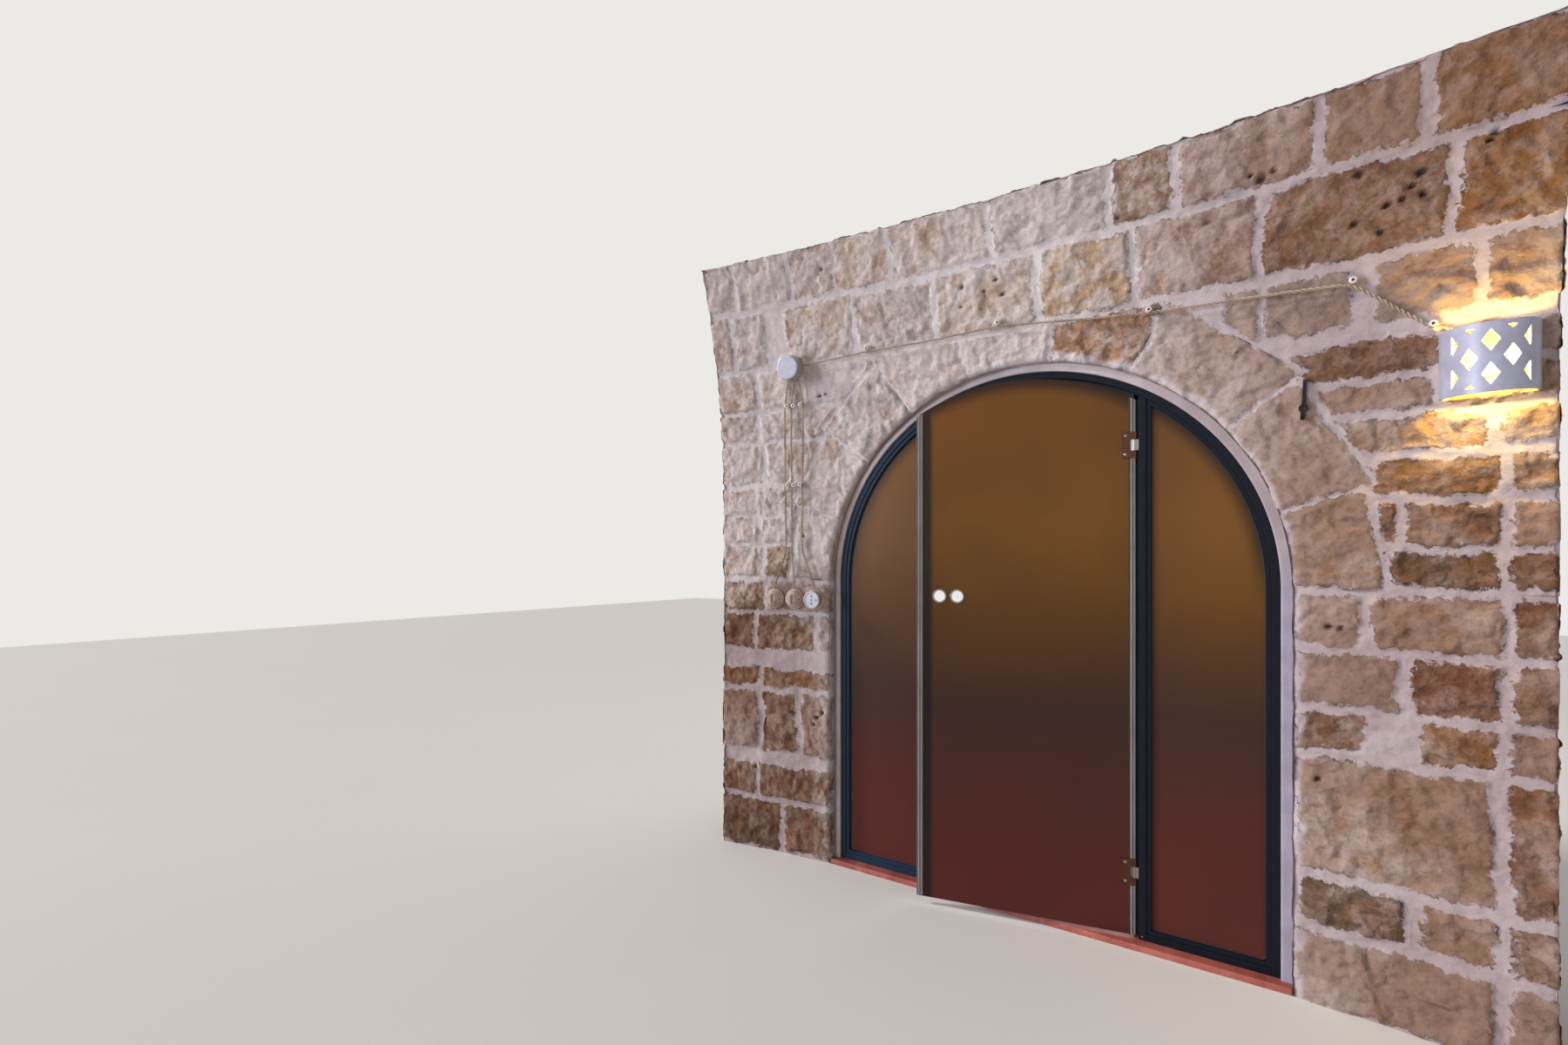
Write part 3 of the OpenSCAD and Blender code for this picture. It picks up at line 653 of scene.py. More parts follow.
def block(name, spot, cells, layered, kind, seed, flat_sides=SIDES):
    """A closed stone block: one grid on the room face, the same on the back, and its sides.

    spot(s, t) gives x, z in mm for s, t in 0..1. Sides named in layered show and get a grid of their own; of
    the hidden ones, those in flat_sides are one face each and the others a strip."""
    nu, nv = cells
    s, t = np.meshgrid(np.linspace(0, 1, nu + 1), np.linspace(0, 1, nv + 1), indexing="ij")
    x, z = spot(s, t)
    count = x.size
    front = np.arange(count).reshape(nu + 1, nv + 1)
    back = front + count
    rim = {
        "low_u": [(0, j) for j in range(nv + 1)], "high_u": [(nu, j) for j in range(nv + 1)],
        "low_v": [(i, 0) for i in range(nu + 1)], "high_v": [(i, nv) for i in range(nu + 1)],
    }
    wide = np.hypot(x[-1] - x[0], z[-1] - z[0])[None, :]
    tall = np.hypot(x[:, -1] - x[:, 0], z[:, -1] - z[:, 0])[:, None]
    reach = {"low_u": s * wide, "high_u": (1 - s) * wide, "low_v": t * tall, "high_v": (1 - t) * tall}
    edge = np.minimum.reduce([reach[side] for side in SIDES if side not in layered] or [s * 0 + 1e3])
    xs, zs, margins = [x.ravel(), x.ravel()], [z.ravel(), z.ravel()], [edge.ravel(), edge.ravel()]
    depth = [np.zeros(count), np.ones(count)]
    steps = np.array([0.012, 0.026, 0.042, 0.06, 0.085, 0.12, 0.16, *np.linspace(0.2, 0.975, 32), 0.99])
    column, sheet, start = {}, {}, 2 * count
    for side in layered:
        sheet[side] = []
        for at in rim[side]:
            if at not in column:
                column[at] = [front[at], *range(start, start + len(steps)), back[at]]
                start += len(steps)
                xs.append(np.full(len(steps), x[at]))
                zs.append(np.full(len(steps), z[at]))
                margins.append(np.full(len(steps), edge[at]))
                depth.append(steps)
            sheet[side].append(column[at])
    xs, zs, depth, margins = map(np.concatenate, (xs, zs, depth, margins))
    quads = [quads_of(a) for a in (front, back, *(np.array(sheet[side]) for side in layered))]
    faces = [list(map(int, q)) for q in np.concatenate(quads)]
    for side, run in rim.items():
        if side in layered:
            continue
        if side in flat_sides:
            first, last = column.get(run[0], []), column.get(run[-1], [])
            ahead, astern = [front[at] for at in run], [back[at] for at in reversed(run)]
            faces.append([int(v) for v in ahead + last[1:-1] + astern + first[1:-1][::-1]])
        else:
            for a, b in zip(run, run[1:]):
                faces.append([int(v) for v in (front[a], front[b], back[b], back[a])])
    member = {side: np.array(sheet[side]).ravel() for side in layered}
    ys, data = weather(name, xs, zs, depth, margins, count, member, kind, seed)
    mesh = bpy.data.meshes.new(name + "_stones")
    mesh.from_pydata(np.stack([data["x"], ys, data["z"]], axis=1) * MM, [], faces)
    work = bmesh.new()
    work.from_mesh(mesh)
    bmesh.ops.recalc_face_normals(work, faces=work.faces)
    work.to_mesh(mesh)
    work.free()
    for key in ("joint", "hole", "lime", "sunk"):
        mesh.attributes.new(key, "FLOAT", "POINT").data.foreach_set("value", data[key].astype(np.float32))
    tint = data["tint"].astype(np.float32).ravel()
    mesh.attributes.new("stone_tint", "FLOAT_COLOR", "POINT").data.foreach_set("color", tint)
    smooth(mesh, 62)
    return mesh


def meet_lining(new, x, y, z, depth, on_front):
    """Rounds the stones' arris round the doorway and smears lime over it, up to the lining."""
    p = np.stack([x, z], axis=1)
    lift = np.maximum(z - SPRING_Z, 0)
    radial = np.hypot(x, lift)
    from_reveal = radial - MASON_R
    # The reveal's edge wanders by up to 3 mm where the stones stand out further than the lining
    ragged = np.clip(0.6 + 1.6 * lumps(p, 64, 301) + 0.8 * lumps(p, 21, 302), -2, 3)
    near = np.clip(1 - from_reveal / 34, 0, 1) ** 2
    proud = step((LINING_FRONT - 1.0 - y) / 8)
    over = ragged * near * (on_front | (depth < 0.4)) * proud
    over = np.where(z < 60, over * step((z - 24) / 40), over)
    length = np.maximum(radial, 1)
    new["x"] -= over * x / length
    new["z"] -= over * np.where(z > SPRING_Z, lift / length, 0)
    turned = rounded(np.maximum(from_reveal, 0), 24 + 9 * lumps(p, 90, 303))
    y[on_front] += (turned * (0.9 - 0.6 * step((x - 100) / 500)))[on_front]
    # Where the lining stands further out than the stones, the lime is smeared up to it
    behind = np.maximum(y - LINING_FRONT - 0.5, 0)
    y[on_front] -= (behind * step((44 + 14 * lumps(p, 60, 306) - from_reveal) / 36))[on_front]
    smeared = step((27 + 13 * lumps(p, 55, 304) + 6 * lumps(p, 19, 305) - from_reveal) / 14)
    new["lime"] = smeared * step((x + 700) / 500 + 0.25)


def weather(name, x, z, depth, margin, count, member, kind, seed):
    """Moves a block's points inwards to its weathered surface and gives their place and colour marks.

    margin is each point's distance in mm from the block's hidden joints, where only mortar may lie."""
    base_front = face_y(x, z)
    y = base_front + (WALL_BACK - base_front) * depth
    stones, distance = kind
    p = np.stack([x, z], axis=1)
    away, which = distance(p, stones, seed)
    at = np.arange(len(x))
    on_front = at < count
    on_back = (at >= count) & (at < 2 * count)
    new = {"x": x.copy(), "z": z.copy(), "joint": away.copy()}
    new["hole"], new["lime"] = np.zeros(len(x)), np.zeros(len(x))
    tint = stone_tints(stones)[which]
    away = np.maximum(away, 3 - margin)
    inward = skin(p, away, which, seed, 900)
    hollow = bored(x, z, seed)
    keep = seat_fade(x, z)
    from_end = HALF_W - np.abs(x)
    arris = rounded(from_end, 16) + rounded(WALL_H - z, 14)
    y[on_front] += ((inward + 13 * hollow) * keep + arris)[on_front]
    new["hole"][on_front] = hollow[on_front]
    new["sunk"] = np.clip(inward / 16, 0, 1)
    y[on_back] -= (skin(p, away, which, seed + 50, 930) + arris)[on_back]
    if name.startswith("arch") or name.endswith("pier"):
        meet_lining(new, x, y, z, depth, on_front)
    for side, who in member.items():
        at_end = side.endswith("_u") and name in STONES and np.abs(x[who]).min() > HALF_W - 1
        if at_end:
            run, salt, lime_seed = end_stones(STONES[name], np.sign(x[who[0]])), 71, 960
            q = np.stack([y[who], z[who]], axis=1)
        elif side == "high_v" and name.startswith("upper"):
            run, salt, lime_seed = top_stones(STONES[name]), 81, 980
            q = np.stack([x[who], y[who]], axis=1)
        else:
            continue
        cut_away, cut_which = stone_distance(q, run, seed + salt)
        cut = skin(q, cut_away, cut_which, seed + salt + 1, lime_seed)
        cut = cut + rounded(np.minimum(y[who] - base_front[who], WALL_BACK - y[who]), 14)
        if at_end:
            new["x"][who] -= np.sign(x[who]) * (cut + rounded(WALL_H - z[who], 12))
        else:
            new["z"][who] -= cut + rounded(from_end[who], 12)
        inner = (depth[who] > 0) & (depth[who] < 1)
        new["joint"][who[inner]] = cut_away[inner]
        tint[who[inner]] = stone_tints(run)[cut_which[inner]]
    new["tint"] = tint
    return np.clip(y, base_front, WALL_BACK), new


def cells_for(width, height):
    """How many grid cells a block of that width and height, in mm, has each way."""
    cell = bpy.context.scene.trullo_masonry.grid / MM
    return max(2, round(width / cell)), max(2, round(height / cell))


def straight_block(name, near, far, layered, seed):
    """An upright rectangle of masonry between two corners, each x and z in mm."""
    (x0, z0), (x1, z1) = near, far

    def spot(s, t):
        return x0 + (x1 - x0) * s, z0 + (z1 - z0) * t

    kind = (row_stones(STONES[name]), stone_distance)
    return block(name, spot, cells_for(abs(x1 - x0), z1 - z0), layered, kind, seed)


def back_of_ring(side):
    """The ring's outline on one side of the arch, as heights and distances from the middle, in mm."""
    points = []
    for k in (0, 1, 2) if side > 0 else (8, 7, 6, 5):
        reach = MASON_R + STONE_DEPTH[k]
        for n in (0, 1) if side > 0 else (1, 0):
            a = math.radians(JOINT_DEG[k + n])
            points.append((SPRING_Z + reach * math.sin(a), abs(reach * math.cos(a))))
    if side < 0:
        rise = CROWN_BED - SPRING_Z
        points = points[:-2] + [(CROWN_BED, abs(rise / math.tan(math.radians(JOINT_DEG[6]))))]
    below = [q for q in points if q[0] <= CROWN_BED]
    above = [q for q in points if q[0] > CROWN_BED]
    return np.array(below + above[:1]).T


def spandrel(name, side):
    """The masonry between the ring and the bay's end, from the spring line up to the course over the arch."""
    zs, xs = back_of_ring(side)

    def spot(s, t):
        z = SPRING_Z + (CROWN_BED - SPRING_Z) * t
        inner = np.interp(z, zs, xs)
        return side * (inner + (HALF_W - inner) * s), z

    def distance(p, stones, seed):
        away, which = stone_distance(p, stones, seed)
        ring = np.abs(p[:, 0]) - np.interp(p[:, 1], zs, xs) + 5 * lumps(p, 40, seed + 8)
        return np.maximum(away, 11 - ring), which

    cells = cells_for(HALF_W - 800, CROWN_BED - SPRING_Z)
    kind = (row_stones(STONES[name]), distance)
    return block(name, spot, cells, ("high_u",), kind, 20 + side, ("high_u", "low_v", "high_v"))


def voussoir(name, k):
    """One stone of the ring, its joints pointing to the arch's centre, cut off under the course above."""
    a0, a1 = (math.radians(JOINT_DEG[k + n]) for n in (0, 1))
    reach = MASON_R + STONE_DEPTH[k]
    half, middle = (a1 - a0) / 2, (a0 + a1) / 2

    def outer(a):
        chord = reach * math.cos(half) / np.cos(a - middle)
        return np.minimum(chord, (CROWN_BED - SPRING_Z) / np.maximum(np.sin(a), 1e-6))

    def spot(s, t):
        a = a1 + (a0 - a1) * s
        r = MASON_R + (outer(a) - MASON_R) * t
        return r * np.cos(a), SPRING_Z + r * np.sin(a)

    def distance(p, _stones, _seed):
        q = p + np.stack([6 * lumps(p, 70, 402), 6 * lumps(p, 66, 403)], axis=1)
        q = q + np.stack([2.5 * lumps(p, 22, 404), 2.5 * lumps(p, 20, 405)], axis=1)
        r = np.hypot(q[:, 0], q[:, 1] - SPRING_Z)
        a = np.arctan2(q[:, 1] - SPRING_Z, q[:, 0])
        sides = np.minimum(a - a0, a1 - a) * r
        room = np.minimum(sides, outer(np.clip(a, a0, a1)) - r)
        return 3.5 - room, np.full(len(p), 0)

    cells = cells_for((a1 - a0) * (MASON_R + 110), STONE_DEPTH[k] if STONE_DEPTH[k] < TO_BED else 170)
    kind = ([(0, 0, 0, 0, RING_TONES[k])], distance)
    return block(name, spot, cells, ("low_v",), kind, 41 + 3 * k, ("low_u", "high_u"))


def stone_meshes():
    """Every masonry node's dressed mesh, by node name."""
    made = {}
    for side, word in ((-1, "left"), (1, "right")):
        name = word + "_pier"
        near, far = (side * MASON_R, 0), (side * HALF_W, SPRING_Z)
        made[name] = straight_block(name, near, far, ("low_u", "high_u"), 10 + side)
        name = word + "_spandrel"
        made[name] = spandrel(name, side)
    for name, low, high, layered in (
        ("lower_course_over_arch", CROWN_BED, UPPER_BED, ("low_u", "high_u")),
        ("upper_course_over_arch", UPPER_BED, WALL_H, ("low_u", "high_u", "high_v")),
    ):
        made[name] = straight_block(name, (-HALF_W, low), (HALF_W, high), layered, 31)
    for k in range(len(RING_TONES)):
        name = f"arch_stone_{k + 1}"
        made[name] = voussoir(name, k)
    return made


def limestone():
    """Trullo limestone, split, laid in lime mortar and lime washed long ago: matt, chalky, iron stained."""
    look = bpy.context.scene.trullo_masonry
    mat, put, at, shader = new_material("limestone_split_lime_pointed")
    mark = put(MARK, attribute_name="stone_tint")
    tint, washed = mark.outputs["Color"], mark.outputs["Alpha"]
    sunk, away, hole, lime = (
        put(MARK, attribute_name=key).outputs["Fac"] for key in ("sunk", "joint", "hole", "lime")
    )
    # Iron stain in patches of 130 mm with ragged rims
    stain = put(RANGE, [put(NOISE, [at, per(130), 6.0, 0.68, 2.0, 0.4]), 0.53, 0.6], **EASED)
    stain = put(MATHS, [stain, look.stain], operation="MULTIPLY")
    colour = put(MIX, [stain, tint, srgb(look.stain_colour)], **BLEND)
    # Clouds of 30 mm in the stone itself
    cloud = put(RANGE, [put(NOISE, [at, per(30), 6.0, 0.66]), 0.28, 0.72], **EASED)
    stops = ((0.0, linear("#978679")), (0.5, linear("#e6ded8")), (1.0, linear("#ffffff")))
    colour = put(MIX, [0.5, colour, put(RAMP, [cloud], stops)], **DARKEN)
    # Lime wash in flakes of 42 mm, thinner where the face is sunk and on stones that have lost theirs
    flake = put(NOISE, [at, per(42), 8.0, 0.72, 2.0, 0.35])
    kept = put(MATHS, [flake, put(MATHS, [washed, 0.3], operation="MULTIPLY")], operation="ADD")
    kept = put(MATHS, [kept, put(MATHS, [sunk, 0.1], operation="MULTIPLY")], operation="SUBTRACT")
    bloom = put(MATHS, [put(RANGE, [kept, 0.53, 0.79], **EASED), look.bloom], operation="MULTIPLY")
    colour = put(MIX, [bloom, colour, srgb(look.bloom_colour)], **BLEND)
    # Specks of 3.6 mm, and painted shade in pits of 8 mm
    speck = put(RANGE, [put(NOISE, [at, per(3.6), 3.0, 0.6]), 0.63, 0.7], **EASED)
    colour = put(MIX, [put(MATHS, [speck, 0.3], operation="MULTIPLY"), colour, linear("#7d6552")], **BLEND)
    pit = put(RANGE, [put(NOISE, [at, per(8), 5.0, 0.7]), 0.3, 0.52], **EASED)
    pitted = put(RAMP, [pit], ((0.0, linear("#8a7668")), (1.0, linear("#ffffff"))))
    colour = put(MIX, [0.3, colour, pitted], **DARKEN)
    # The mortar's edge wanders by a few mm at a grain finer than the mesh
    wander = put(RANGE, [put(NOISE, [at, per(15), 6.0, 0.72]), 0.25, 0.75, -11.0, 11.0], **EASED)
    edge = put(RANGE, [put(MATHS, [away, wander], operation="ADD"), -9.0, -1.0], **EASED)
    sand = put(RANGE, [put(NOISE, [at, per(20), 7.0, 0.72]), 0.25, 0.6], **EASED)
    mortar = put(MIX, [sand, linear("#bdb0aa"), srgb(look.mortar_colour)], **BLEND)
    colour = put(MIX, [edge, colour, mortar], **BLEND)
    plaster = put(MATHS, [lime, 0.85], operation="MULTIPLY")
    colour = put(MIX, [plaster, colour, srgb(look.plaster_colour)], **BLEND)
    # Painted shade: the worm holes are darkened almost black
    colour = put(MIX, [put(MATHS, [hole, 0.9], operation="MULTIPLY"), colour, linear("#3b2c21")], **BLEND)
    # Painted shade: the stones, and the lime less, are darkened and browned towards the right end, where the
    # wall was lit dimmer; they are also darker low on the left pier
    place = put(SPLIT, [at]).outputs
    east = put(RANGE, [place["X"], 0.0, 1.0], **EASED)
    wavy_offset = put(RANGE, [put(NOISE, [at, per(180), 5.0, 0.62]), 0.3, 0.7, -0.2, 0.2], **EASED)
    wavy_height = put(MATHS, [place["Z"], wavy_offset], operation="ADD")
    west = put(RANGE, [place["X"], -0.7, -0.9], **EASED)
    low = put(MATHS, [put(RANGE, [wavy_height, 1.32, 0.98], **EASED), west], operation="MULTIPLY")
    patchy = put(RANGE, [put(NOISE, [at, per(220), 4.0, 0.6]), 0.25, 0.6, 0.55, 1.0], **EASED)
    darkened = put(MATHS, [put(MATHS, [east, low], operation="MAXIMUM"), patchy], operation="MULTIPLY")
    limed = put(MATHS, [edge, lime], operation="MAXIMUM")
    shade_tint = put(MIX, [limed, linear("#ae9482"), linear("#ccc0c1")], **BLEND)
    colour = put(MIX, [darkened, colour, shade_tint], **DARKEN)
    # Facets, chips and grain stand out on bare stone, less under the wash and least in the mortar
    bare = put(RANGE, [edge, 0.0, 1.0, 1.0, 0.25])
    bare = put(MATHS, [bare, put(RANGE, [washed, 0.5, 0.9, 1.2, 0.42], **EASED)], operation="MULTIPLY")
    relief = None
    for source, depth, strength in (
        (put(CELLS, {"Vector": at, "Scale": 15.0, "Detail": 1.0}), 15.0, 0.8),
        (put(CELLS, {"Vector": at, "Scale": 52.0}), 3.0, 0.5),
        (put(NOISE, [at, per(18), 6.0, 0.62]), 6.5, 1.0),
    ):
        centred = put(MATHS, [source, 0.5], operation="SUBTRACT")
        height = put(MATHS, [centred, bare], operation="MULTIPLY")
        below = {"Normal": relief} if relief else {}
        relief = put(BUMP, {"Height": height, "Distance": depth * MM, "Strength": strength, **below})
    grain = put(NOISE, [at, per(5), 4.0, 0.65])
    relief = put(BUMP, {"Height": grain, "Distance": 2.0 * MM, "Strength": 0.8, "Normal": relief})
    feed(shader, {"Base Color": colour, "Roughness": 0.92, "Specular IOR Level": 0.3, "Normal": relief})
    return mat


def from_crown(put, across, height):
    """How far a point lies from the centre of the arch, in metres."""
    return put(VECTORS, [put(UNITE, {"X": across, "Z": height})], operation="LENGTH")


def lime_plaster():
    """Hand-floated lime plaster: chalk white, matt, with trowel waves and fine cracks of shade."""
    look = bpy.context.scene.trullo_masonry
    mat, put, at, shader = new_material("lime_plaster_floated")
    cloud = put(RANGE, [put(NOISE, [at, per(60), 4.0, 0.6]), 0.3, 0.7], **EASED)
    tone = put(MIX, [cloud, srgb(look.plaster_colour), linear("#bdb2b1")], **BLEND)
    # Painted shade of fine cracks: specks of 6 mm darkened grey-brown
    dust = put(RANGE, [put(NOISE, [at, per(6), 4.0, 0.65]), 0.58, 0.75, 0.0, 0.35], **EASED)
    tone = put(MIX, [dust, tone, linear("#a99b93")], **BLEND)
    # Painted shadow: a brown line along the plaster's outer rim on the left, where it meets the stones
    place = put(SPLIT, [at]).outputs
    rise = put(MATHS, [put(MATHS, [place["Z"], SPRING_Z * MM], operation="SUBTRACT"), 0.0], operation="MAXIMUM")
    rim = put(RANGE, [from_crown(put, place["X"], rise), 0.762, 0.773], **EASED)
    painted_rim_shadow = put(MATHS, [rim, put(RANGE, [place["X"], -0.25, -0.5], **EASED)], operation="MULTIPLY")
    tone = put(MIX, [put(MATHS, [painted_rim_shadow, 0.8], operation="MULTIPLY"), tone, linear("#7d6151")], **BLEND)
    # Painted shade: the plaster is darkened and turned bluer towards the right end, bluer still low down
    lower = put(RANGE, [place["Z"], 1.45, 1.0], **EASED)
    blue = put(MIX, [lower, linear("#d3ccce"), linear("#c8cbde")], **BLEND)
    tone = put(MIX, [put(RANGE, [place["X"], 0.1, 0.6], **EASED), tone, blue], **DARKEN)
    # Trowel waves of 26 mm, and sand of 3.5 mm
    wave = put(NOISE, [at, per(26), 3.0, 0.5])
    relief = put(BUMP, {"Height": wave, "Distance": 2.0 * MM, "Strength": 0.6})
    sand = put(NOISE, [at, per(3.5), 3.0, 0.6])
    relief = put(BUMP, {"Height": sand, "Distance": 0.5 * MM, "Strength": 0.5, "Normal": relief})
    feed(shader, {"Base Color": tone, "Roughness": 0.9, "Specular IOR Level": 0.3, "Normal": relief})
    return mat


def burnished_cement():
    """Red cement floated by hand and burnished: clouded pinkish red, half matt, with a waxed sheen."""
    look = bpy.context.scene.trullo_masonry
    mat, put, at, shader = new_material("burnished_red_cement")
    stops = ((0.3, linear("#7c3c33")), (0.5, srgb(look.cement_colour)), (0.7, linear("#b7695c")))
    cloud = put(RAMP, [put(NOISE, [at, per(95), 5.0, 0.62, 2.0, 0.8])], stops)
    worn = put(RANGE, [put(NOISE, [at, per(34), 5.0, 0.7]), 0.55, 0.75, 0.0, 0.5], **EASED)
    sheen = put(RANGE, [put(NOISE, [at, per(40), 4.0, 0.55]), 0.3, 0.7, 0.3, 0.5], **EASED)
    wave = put(NOISE, [at, per(22), 3.0, 0.5])
    feed(shader, {
        "Base Color": put(MIX, [worn, cloud, linear("#c08a7d")], **BLEND), "Roughness": sheen, "IOR": 1.5,
        "Normal": put(BUMP, {"Height": wave, "Distance": 0.6 * MM, "Strength": 0.5}),
    })
    return mat


def powder_coat():
    """Steel with a powder coat of blue-black: satin, with a fine orange-peel skin."""
    look = bpy.context.scene.trullo_joinery
    mat, put, at, shader = new_material("steel_powder_coated")
    dust = put(RANGE, [put(NOISE, [at, per(22), 4.0, 0.6]), 0.5, 0.78, 0.0, 0.22], **EASED)
    # The coat turns bluer towards the left
    towards_left = put(RANGE, [put(SPLIT, [at]).outputs["X"], 0.15, -0.6], **EASED)
    coat = put(MIX, [towards_left, srgb(look.frame_colour), linear("#1f3042")], **BLEND)
    # Orange peel is about 1 mm across; drawn at 2.5 mm so that it shows
    peel = put(NOISE, [at, per(2.5), 2.0, 0.5])
    feed(shader, {
        "Base Color": put(MIX, [dust, coat, linear("#2c323c")], **BLEND), "Roughness": 0.42, "IOR": 1.5,
        "Specular IOR Level": 0.12,
        "Normal": put(BUMP, {"Height": peel, "Distance": 0.12 * MM, "Strength": 0.5}),
    })
    return mat


def rubber():
    """Black glazing gasket: extruded rubber, matt with a soft line of light."""
    mat, put, at, shader = new_material("black_glazing_rubber")
    bloom = put(NOISE, [at, per(9), 3.0, 0.55])
    drag = put(NOISE, [at, per(4), 2.0, 0.55])
    feed(shader, {
        "Base Color": put(MIX, [bloom, linear("#0e0f11"), linear("#1c1d20")], **BLEND), "Roughness": 0.6,
        "Normal": put(BUMP, {"Height": drag, "Distance": 0.1 * MM, "Strength": 0.4}),
    })
    return mat


def leaf_across(put, at):
    """How far across the closed leaf a point of the leaf lies, in metres."""
    turn = math.radians(LEAF_AJAR)
    along = put(VECTORS, [at, (math.cos(turn), math.sin(turn), 0)], operation="DOT_PRODUCT")
    pin = PIN[0] * MM - (PIN[0] * math.cos(turn) + PIN[1] * math.sin(turn)) * MM
    return put(MATHS, [along, pin], operation="ADD")


def frosted_glass(name, rim, turned=False):
    """Toughened bronze glass, acid etched: dark and satin, warm above, with a painted reflection of a red floor
    at its foot and painted shade at its rim.
    """
    look = bpy.context.scene.trullo_joinery
    mat, put, at, shader = new_material(name)
    place = put(SPLIT, [at]).outputs
    height, across = place["Z"], leaf_across(put, at) if turned else place["X"]
    # Painted reflection: the reddish foot of the ramp stands for a red floor seen in the glass
    body = put(RAMP, [put(MATHS, [height, GLASS_TALL], operation="DIVIDE")], (
        (0.04, srgb(look.glass_floor_reflection)), (0.22, linear("#52251f")), (0.4, linear("#3f2921")),
        (0.56, srgb(look.glass_colour)), (0.74, srgb(look.glass_top)), (0.98, linear("#774c22")),
    ))
    cloud = put(RANGE, [put(NOISE, [at, per(420), 2.0, 0.5]), 0.35, 0.7], **EASED)
    body = put(MIX, [put(MATHS, [cloud, 0.4], operation="MULTIPLY"), body, linear("#3d2820")], **BLEND)
    # Painted shade: the rim of the arch is darkened as if the wall's thickness shaded it, and on the leaf also
    # the band beside the strike seal, as if a shadow behind it showed through
    out = from_crown(put, across, put(MATHS, [height, SPRING_Z * MM], operation="SUBTRACT"))
    above = put(RANGE, [height, 1.1, 1.3], **EASED)
    painted_rim_shade = put(RANGE, [out, (rim - 60) * MM, rim * MM], **EASED)
    painted_rim_shade = put(MATHS, [painted_rim_shade, above], operation="MULTIPLY")
    if turned:
        start = LEAF_LEFT + STRIKE_LIP
        beside = put(RANGE, [across, (start + 18) * MM, (start + 40) * MM, 1.0, 0.0], **EASED)
        painted_rim_shade = put(MATHS, [painted_rim_shade, beside], operation="MAXIMUM")
    body = put(MIX, [put(MATHS, [painted_rim_shade, 0.82], operation="MULTIPLY"), body, linear("#17161a")], **BLEND)
    # Etching grain is under 0.1 mm; drawn at 1.6 mm so that it shows
    etch = put(NOISE, [at, per(1.6), 2.0, 0.5])
    feed(shader, {
        "Base Color": body, "Transmission Weight": look.glass_clearness, "Roughness": look.glass_satin,
        "IOR": 1.5, "Specular IOR Level": 0.14,
        "Normal": put(BUMP, {"Height": etch, "Distance": 0.05 * MM, "Strength": 0.25}),
    })
    return mat


def clear_pvc(name, nose, lip):
    """Clear PVC door seal: extruded, faintly milky and glossy, with painted highlights along its ribs and
    painted shade where its hollows show.
    """
    mat, put, at, shader = new_material(name)
    cloud = put(RANGE, [put(NOISE, [at, per(60), 3.0, 0.55]), 0.3, 0.7], **EASED)
    milk = put(MIX, [cloud, linear("#e6e2df"), linear("#cdc6c2")], **BLEND)
    along = put(MATHS, [leaf_across(put, at), nose * MM], operation="SUBTRACT")
    along = put(MATHS, [along, (lip - nose) * MM], operation="DIVIDE")
    # Painted highlights and shade: light and dark stripes across the seal, from its nose to its lip
    rib_highlights_and_shade = put(RAMP, [along], (
        (0.0, linear("#565a6a")), (0.22, linear("#8f8d9c")), (0.38, linear("#b9b6bd")),
        (0.44, linear("#2a272d")), (0.52, linear("#3d3735")), (0.58, linear("#bdb59c")),
        (0.76, linear("#a69e89")), (0.82, linear("#231e1d")), (1.0, linear("#35302f")),
    ))
    wave = put(NOISE, [at, per(14), 2.0, 0.55])
    feed(shader, {
        "Base Color": put(MIX, [1.0, milk, rib_highlights_and_shade], **DARKEN), "Transmission Weight": 0.2, "Roughness": 0.3,
        "IOR": 1.53, "Normal": put(BUMP, {"Height": wave, "Distance": 0.15 * MM, "Strength": 0.35}),
    })
    return mat


# Tint of the plating, and of the same where it is wiped
CHROME_TONES = ("#a9a6a3", "#8f8c8a")
SMOKED_TONES = ("#6a4a3a", "#54392e")


def chrome(name, tone, wiped):
    """Zinc hardware, polished and chrome plated: mirror bright with faint wiping marks."""
    mat, put, at, shader = new_material(name)
    smear = put(NOISE, [at, per(14), 3.0, 0.55])
    polish = put(RANGE, [put(NOISE, [at, per(8), 4.0, 0.55]), 0.3, 0.7, 0.1, 0.22], **EASED)
    wave = put(NOISE, [at, per(30), 2.0, 0.55])
    feed(shader, {
        "Base Color": put(MIX, [smear, linear(tone), linear(wiped)], **BLEND), "Metallic": 1.0,
        "Roughness": polish,
        "Normal": put(BUMP, {"Height": wave, "Distance": 0.08 * MM, "Strength": 0.3}),
    })
    return mat


def glossy_fitting(name, colour, shade):
    """Electrical porcelain, slip cast and glazed, or plastic moulded like it: glossy, with dusty steps."""
    mat, put, at, shader = new_material(name)
    cloud = put(RANGE, [put(NOISE, [at, per(26), 3.0, 0.55]), 0.3, 0.7], **EASED)
    tone = put(MIX, [cloud, linear(colour), linear(shade)], **BLEND)
    dust = put(RANGE, [put(NOISE, [at, per(3.2), 3.0, 0.55]), 0.64, 0.74, 0.0, 0.3], **EASED)
    gloss = put(RANGE, [put(NOISE, [at, per(12), 3.0, 0.55]), 0.3, 0.7, 0.12, 0.26], **EASED)
    wave = put(NOISE, [at, per(10), 2.0, 0.55])
    feed(shader, {
        "Base Color": put(MIX, [dust, tone, linear("#a79c8d")], **BLEND), "Roughness": gloss, "IOR": 1.54,
        "Coat Weight": 0.4, "Normal": put(BUMP, {"Height": wave, "Distance": 0.18 * MM, "Strength": 0.4}),
    })
    return mat


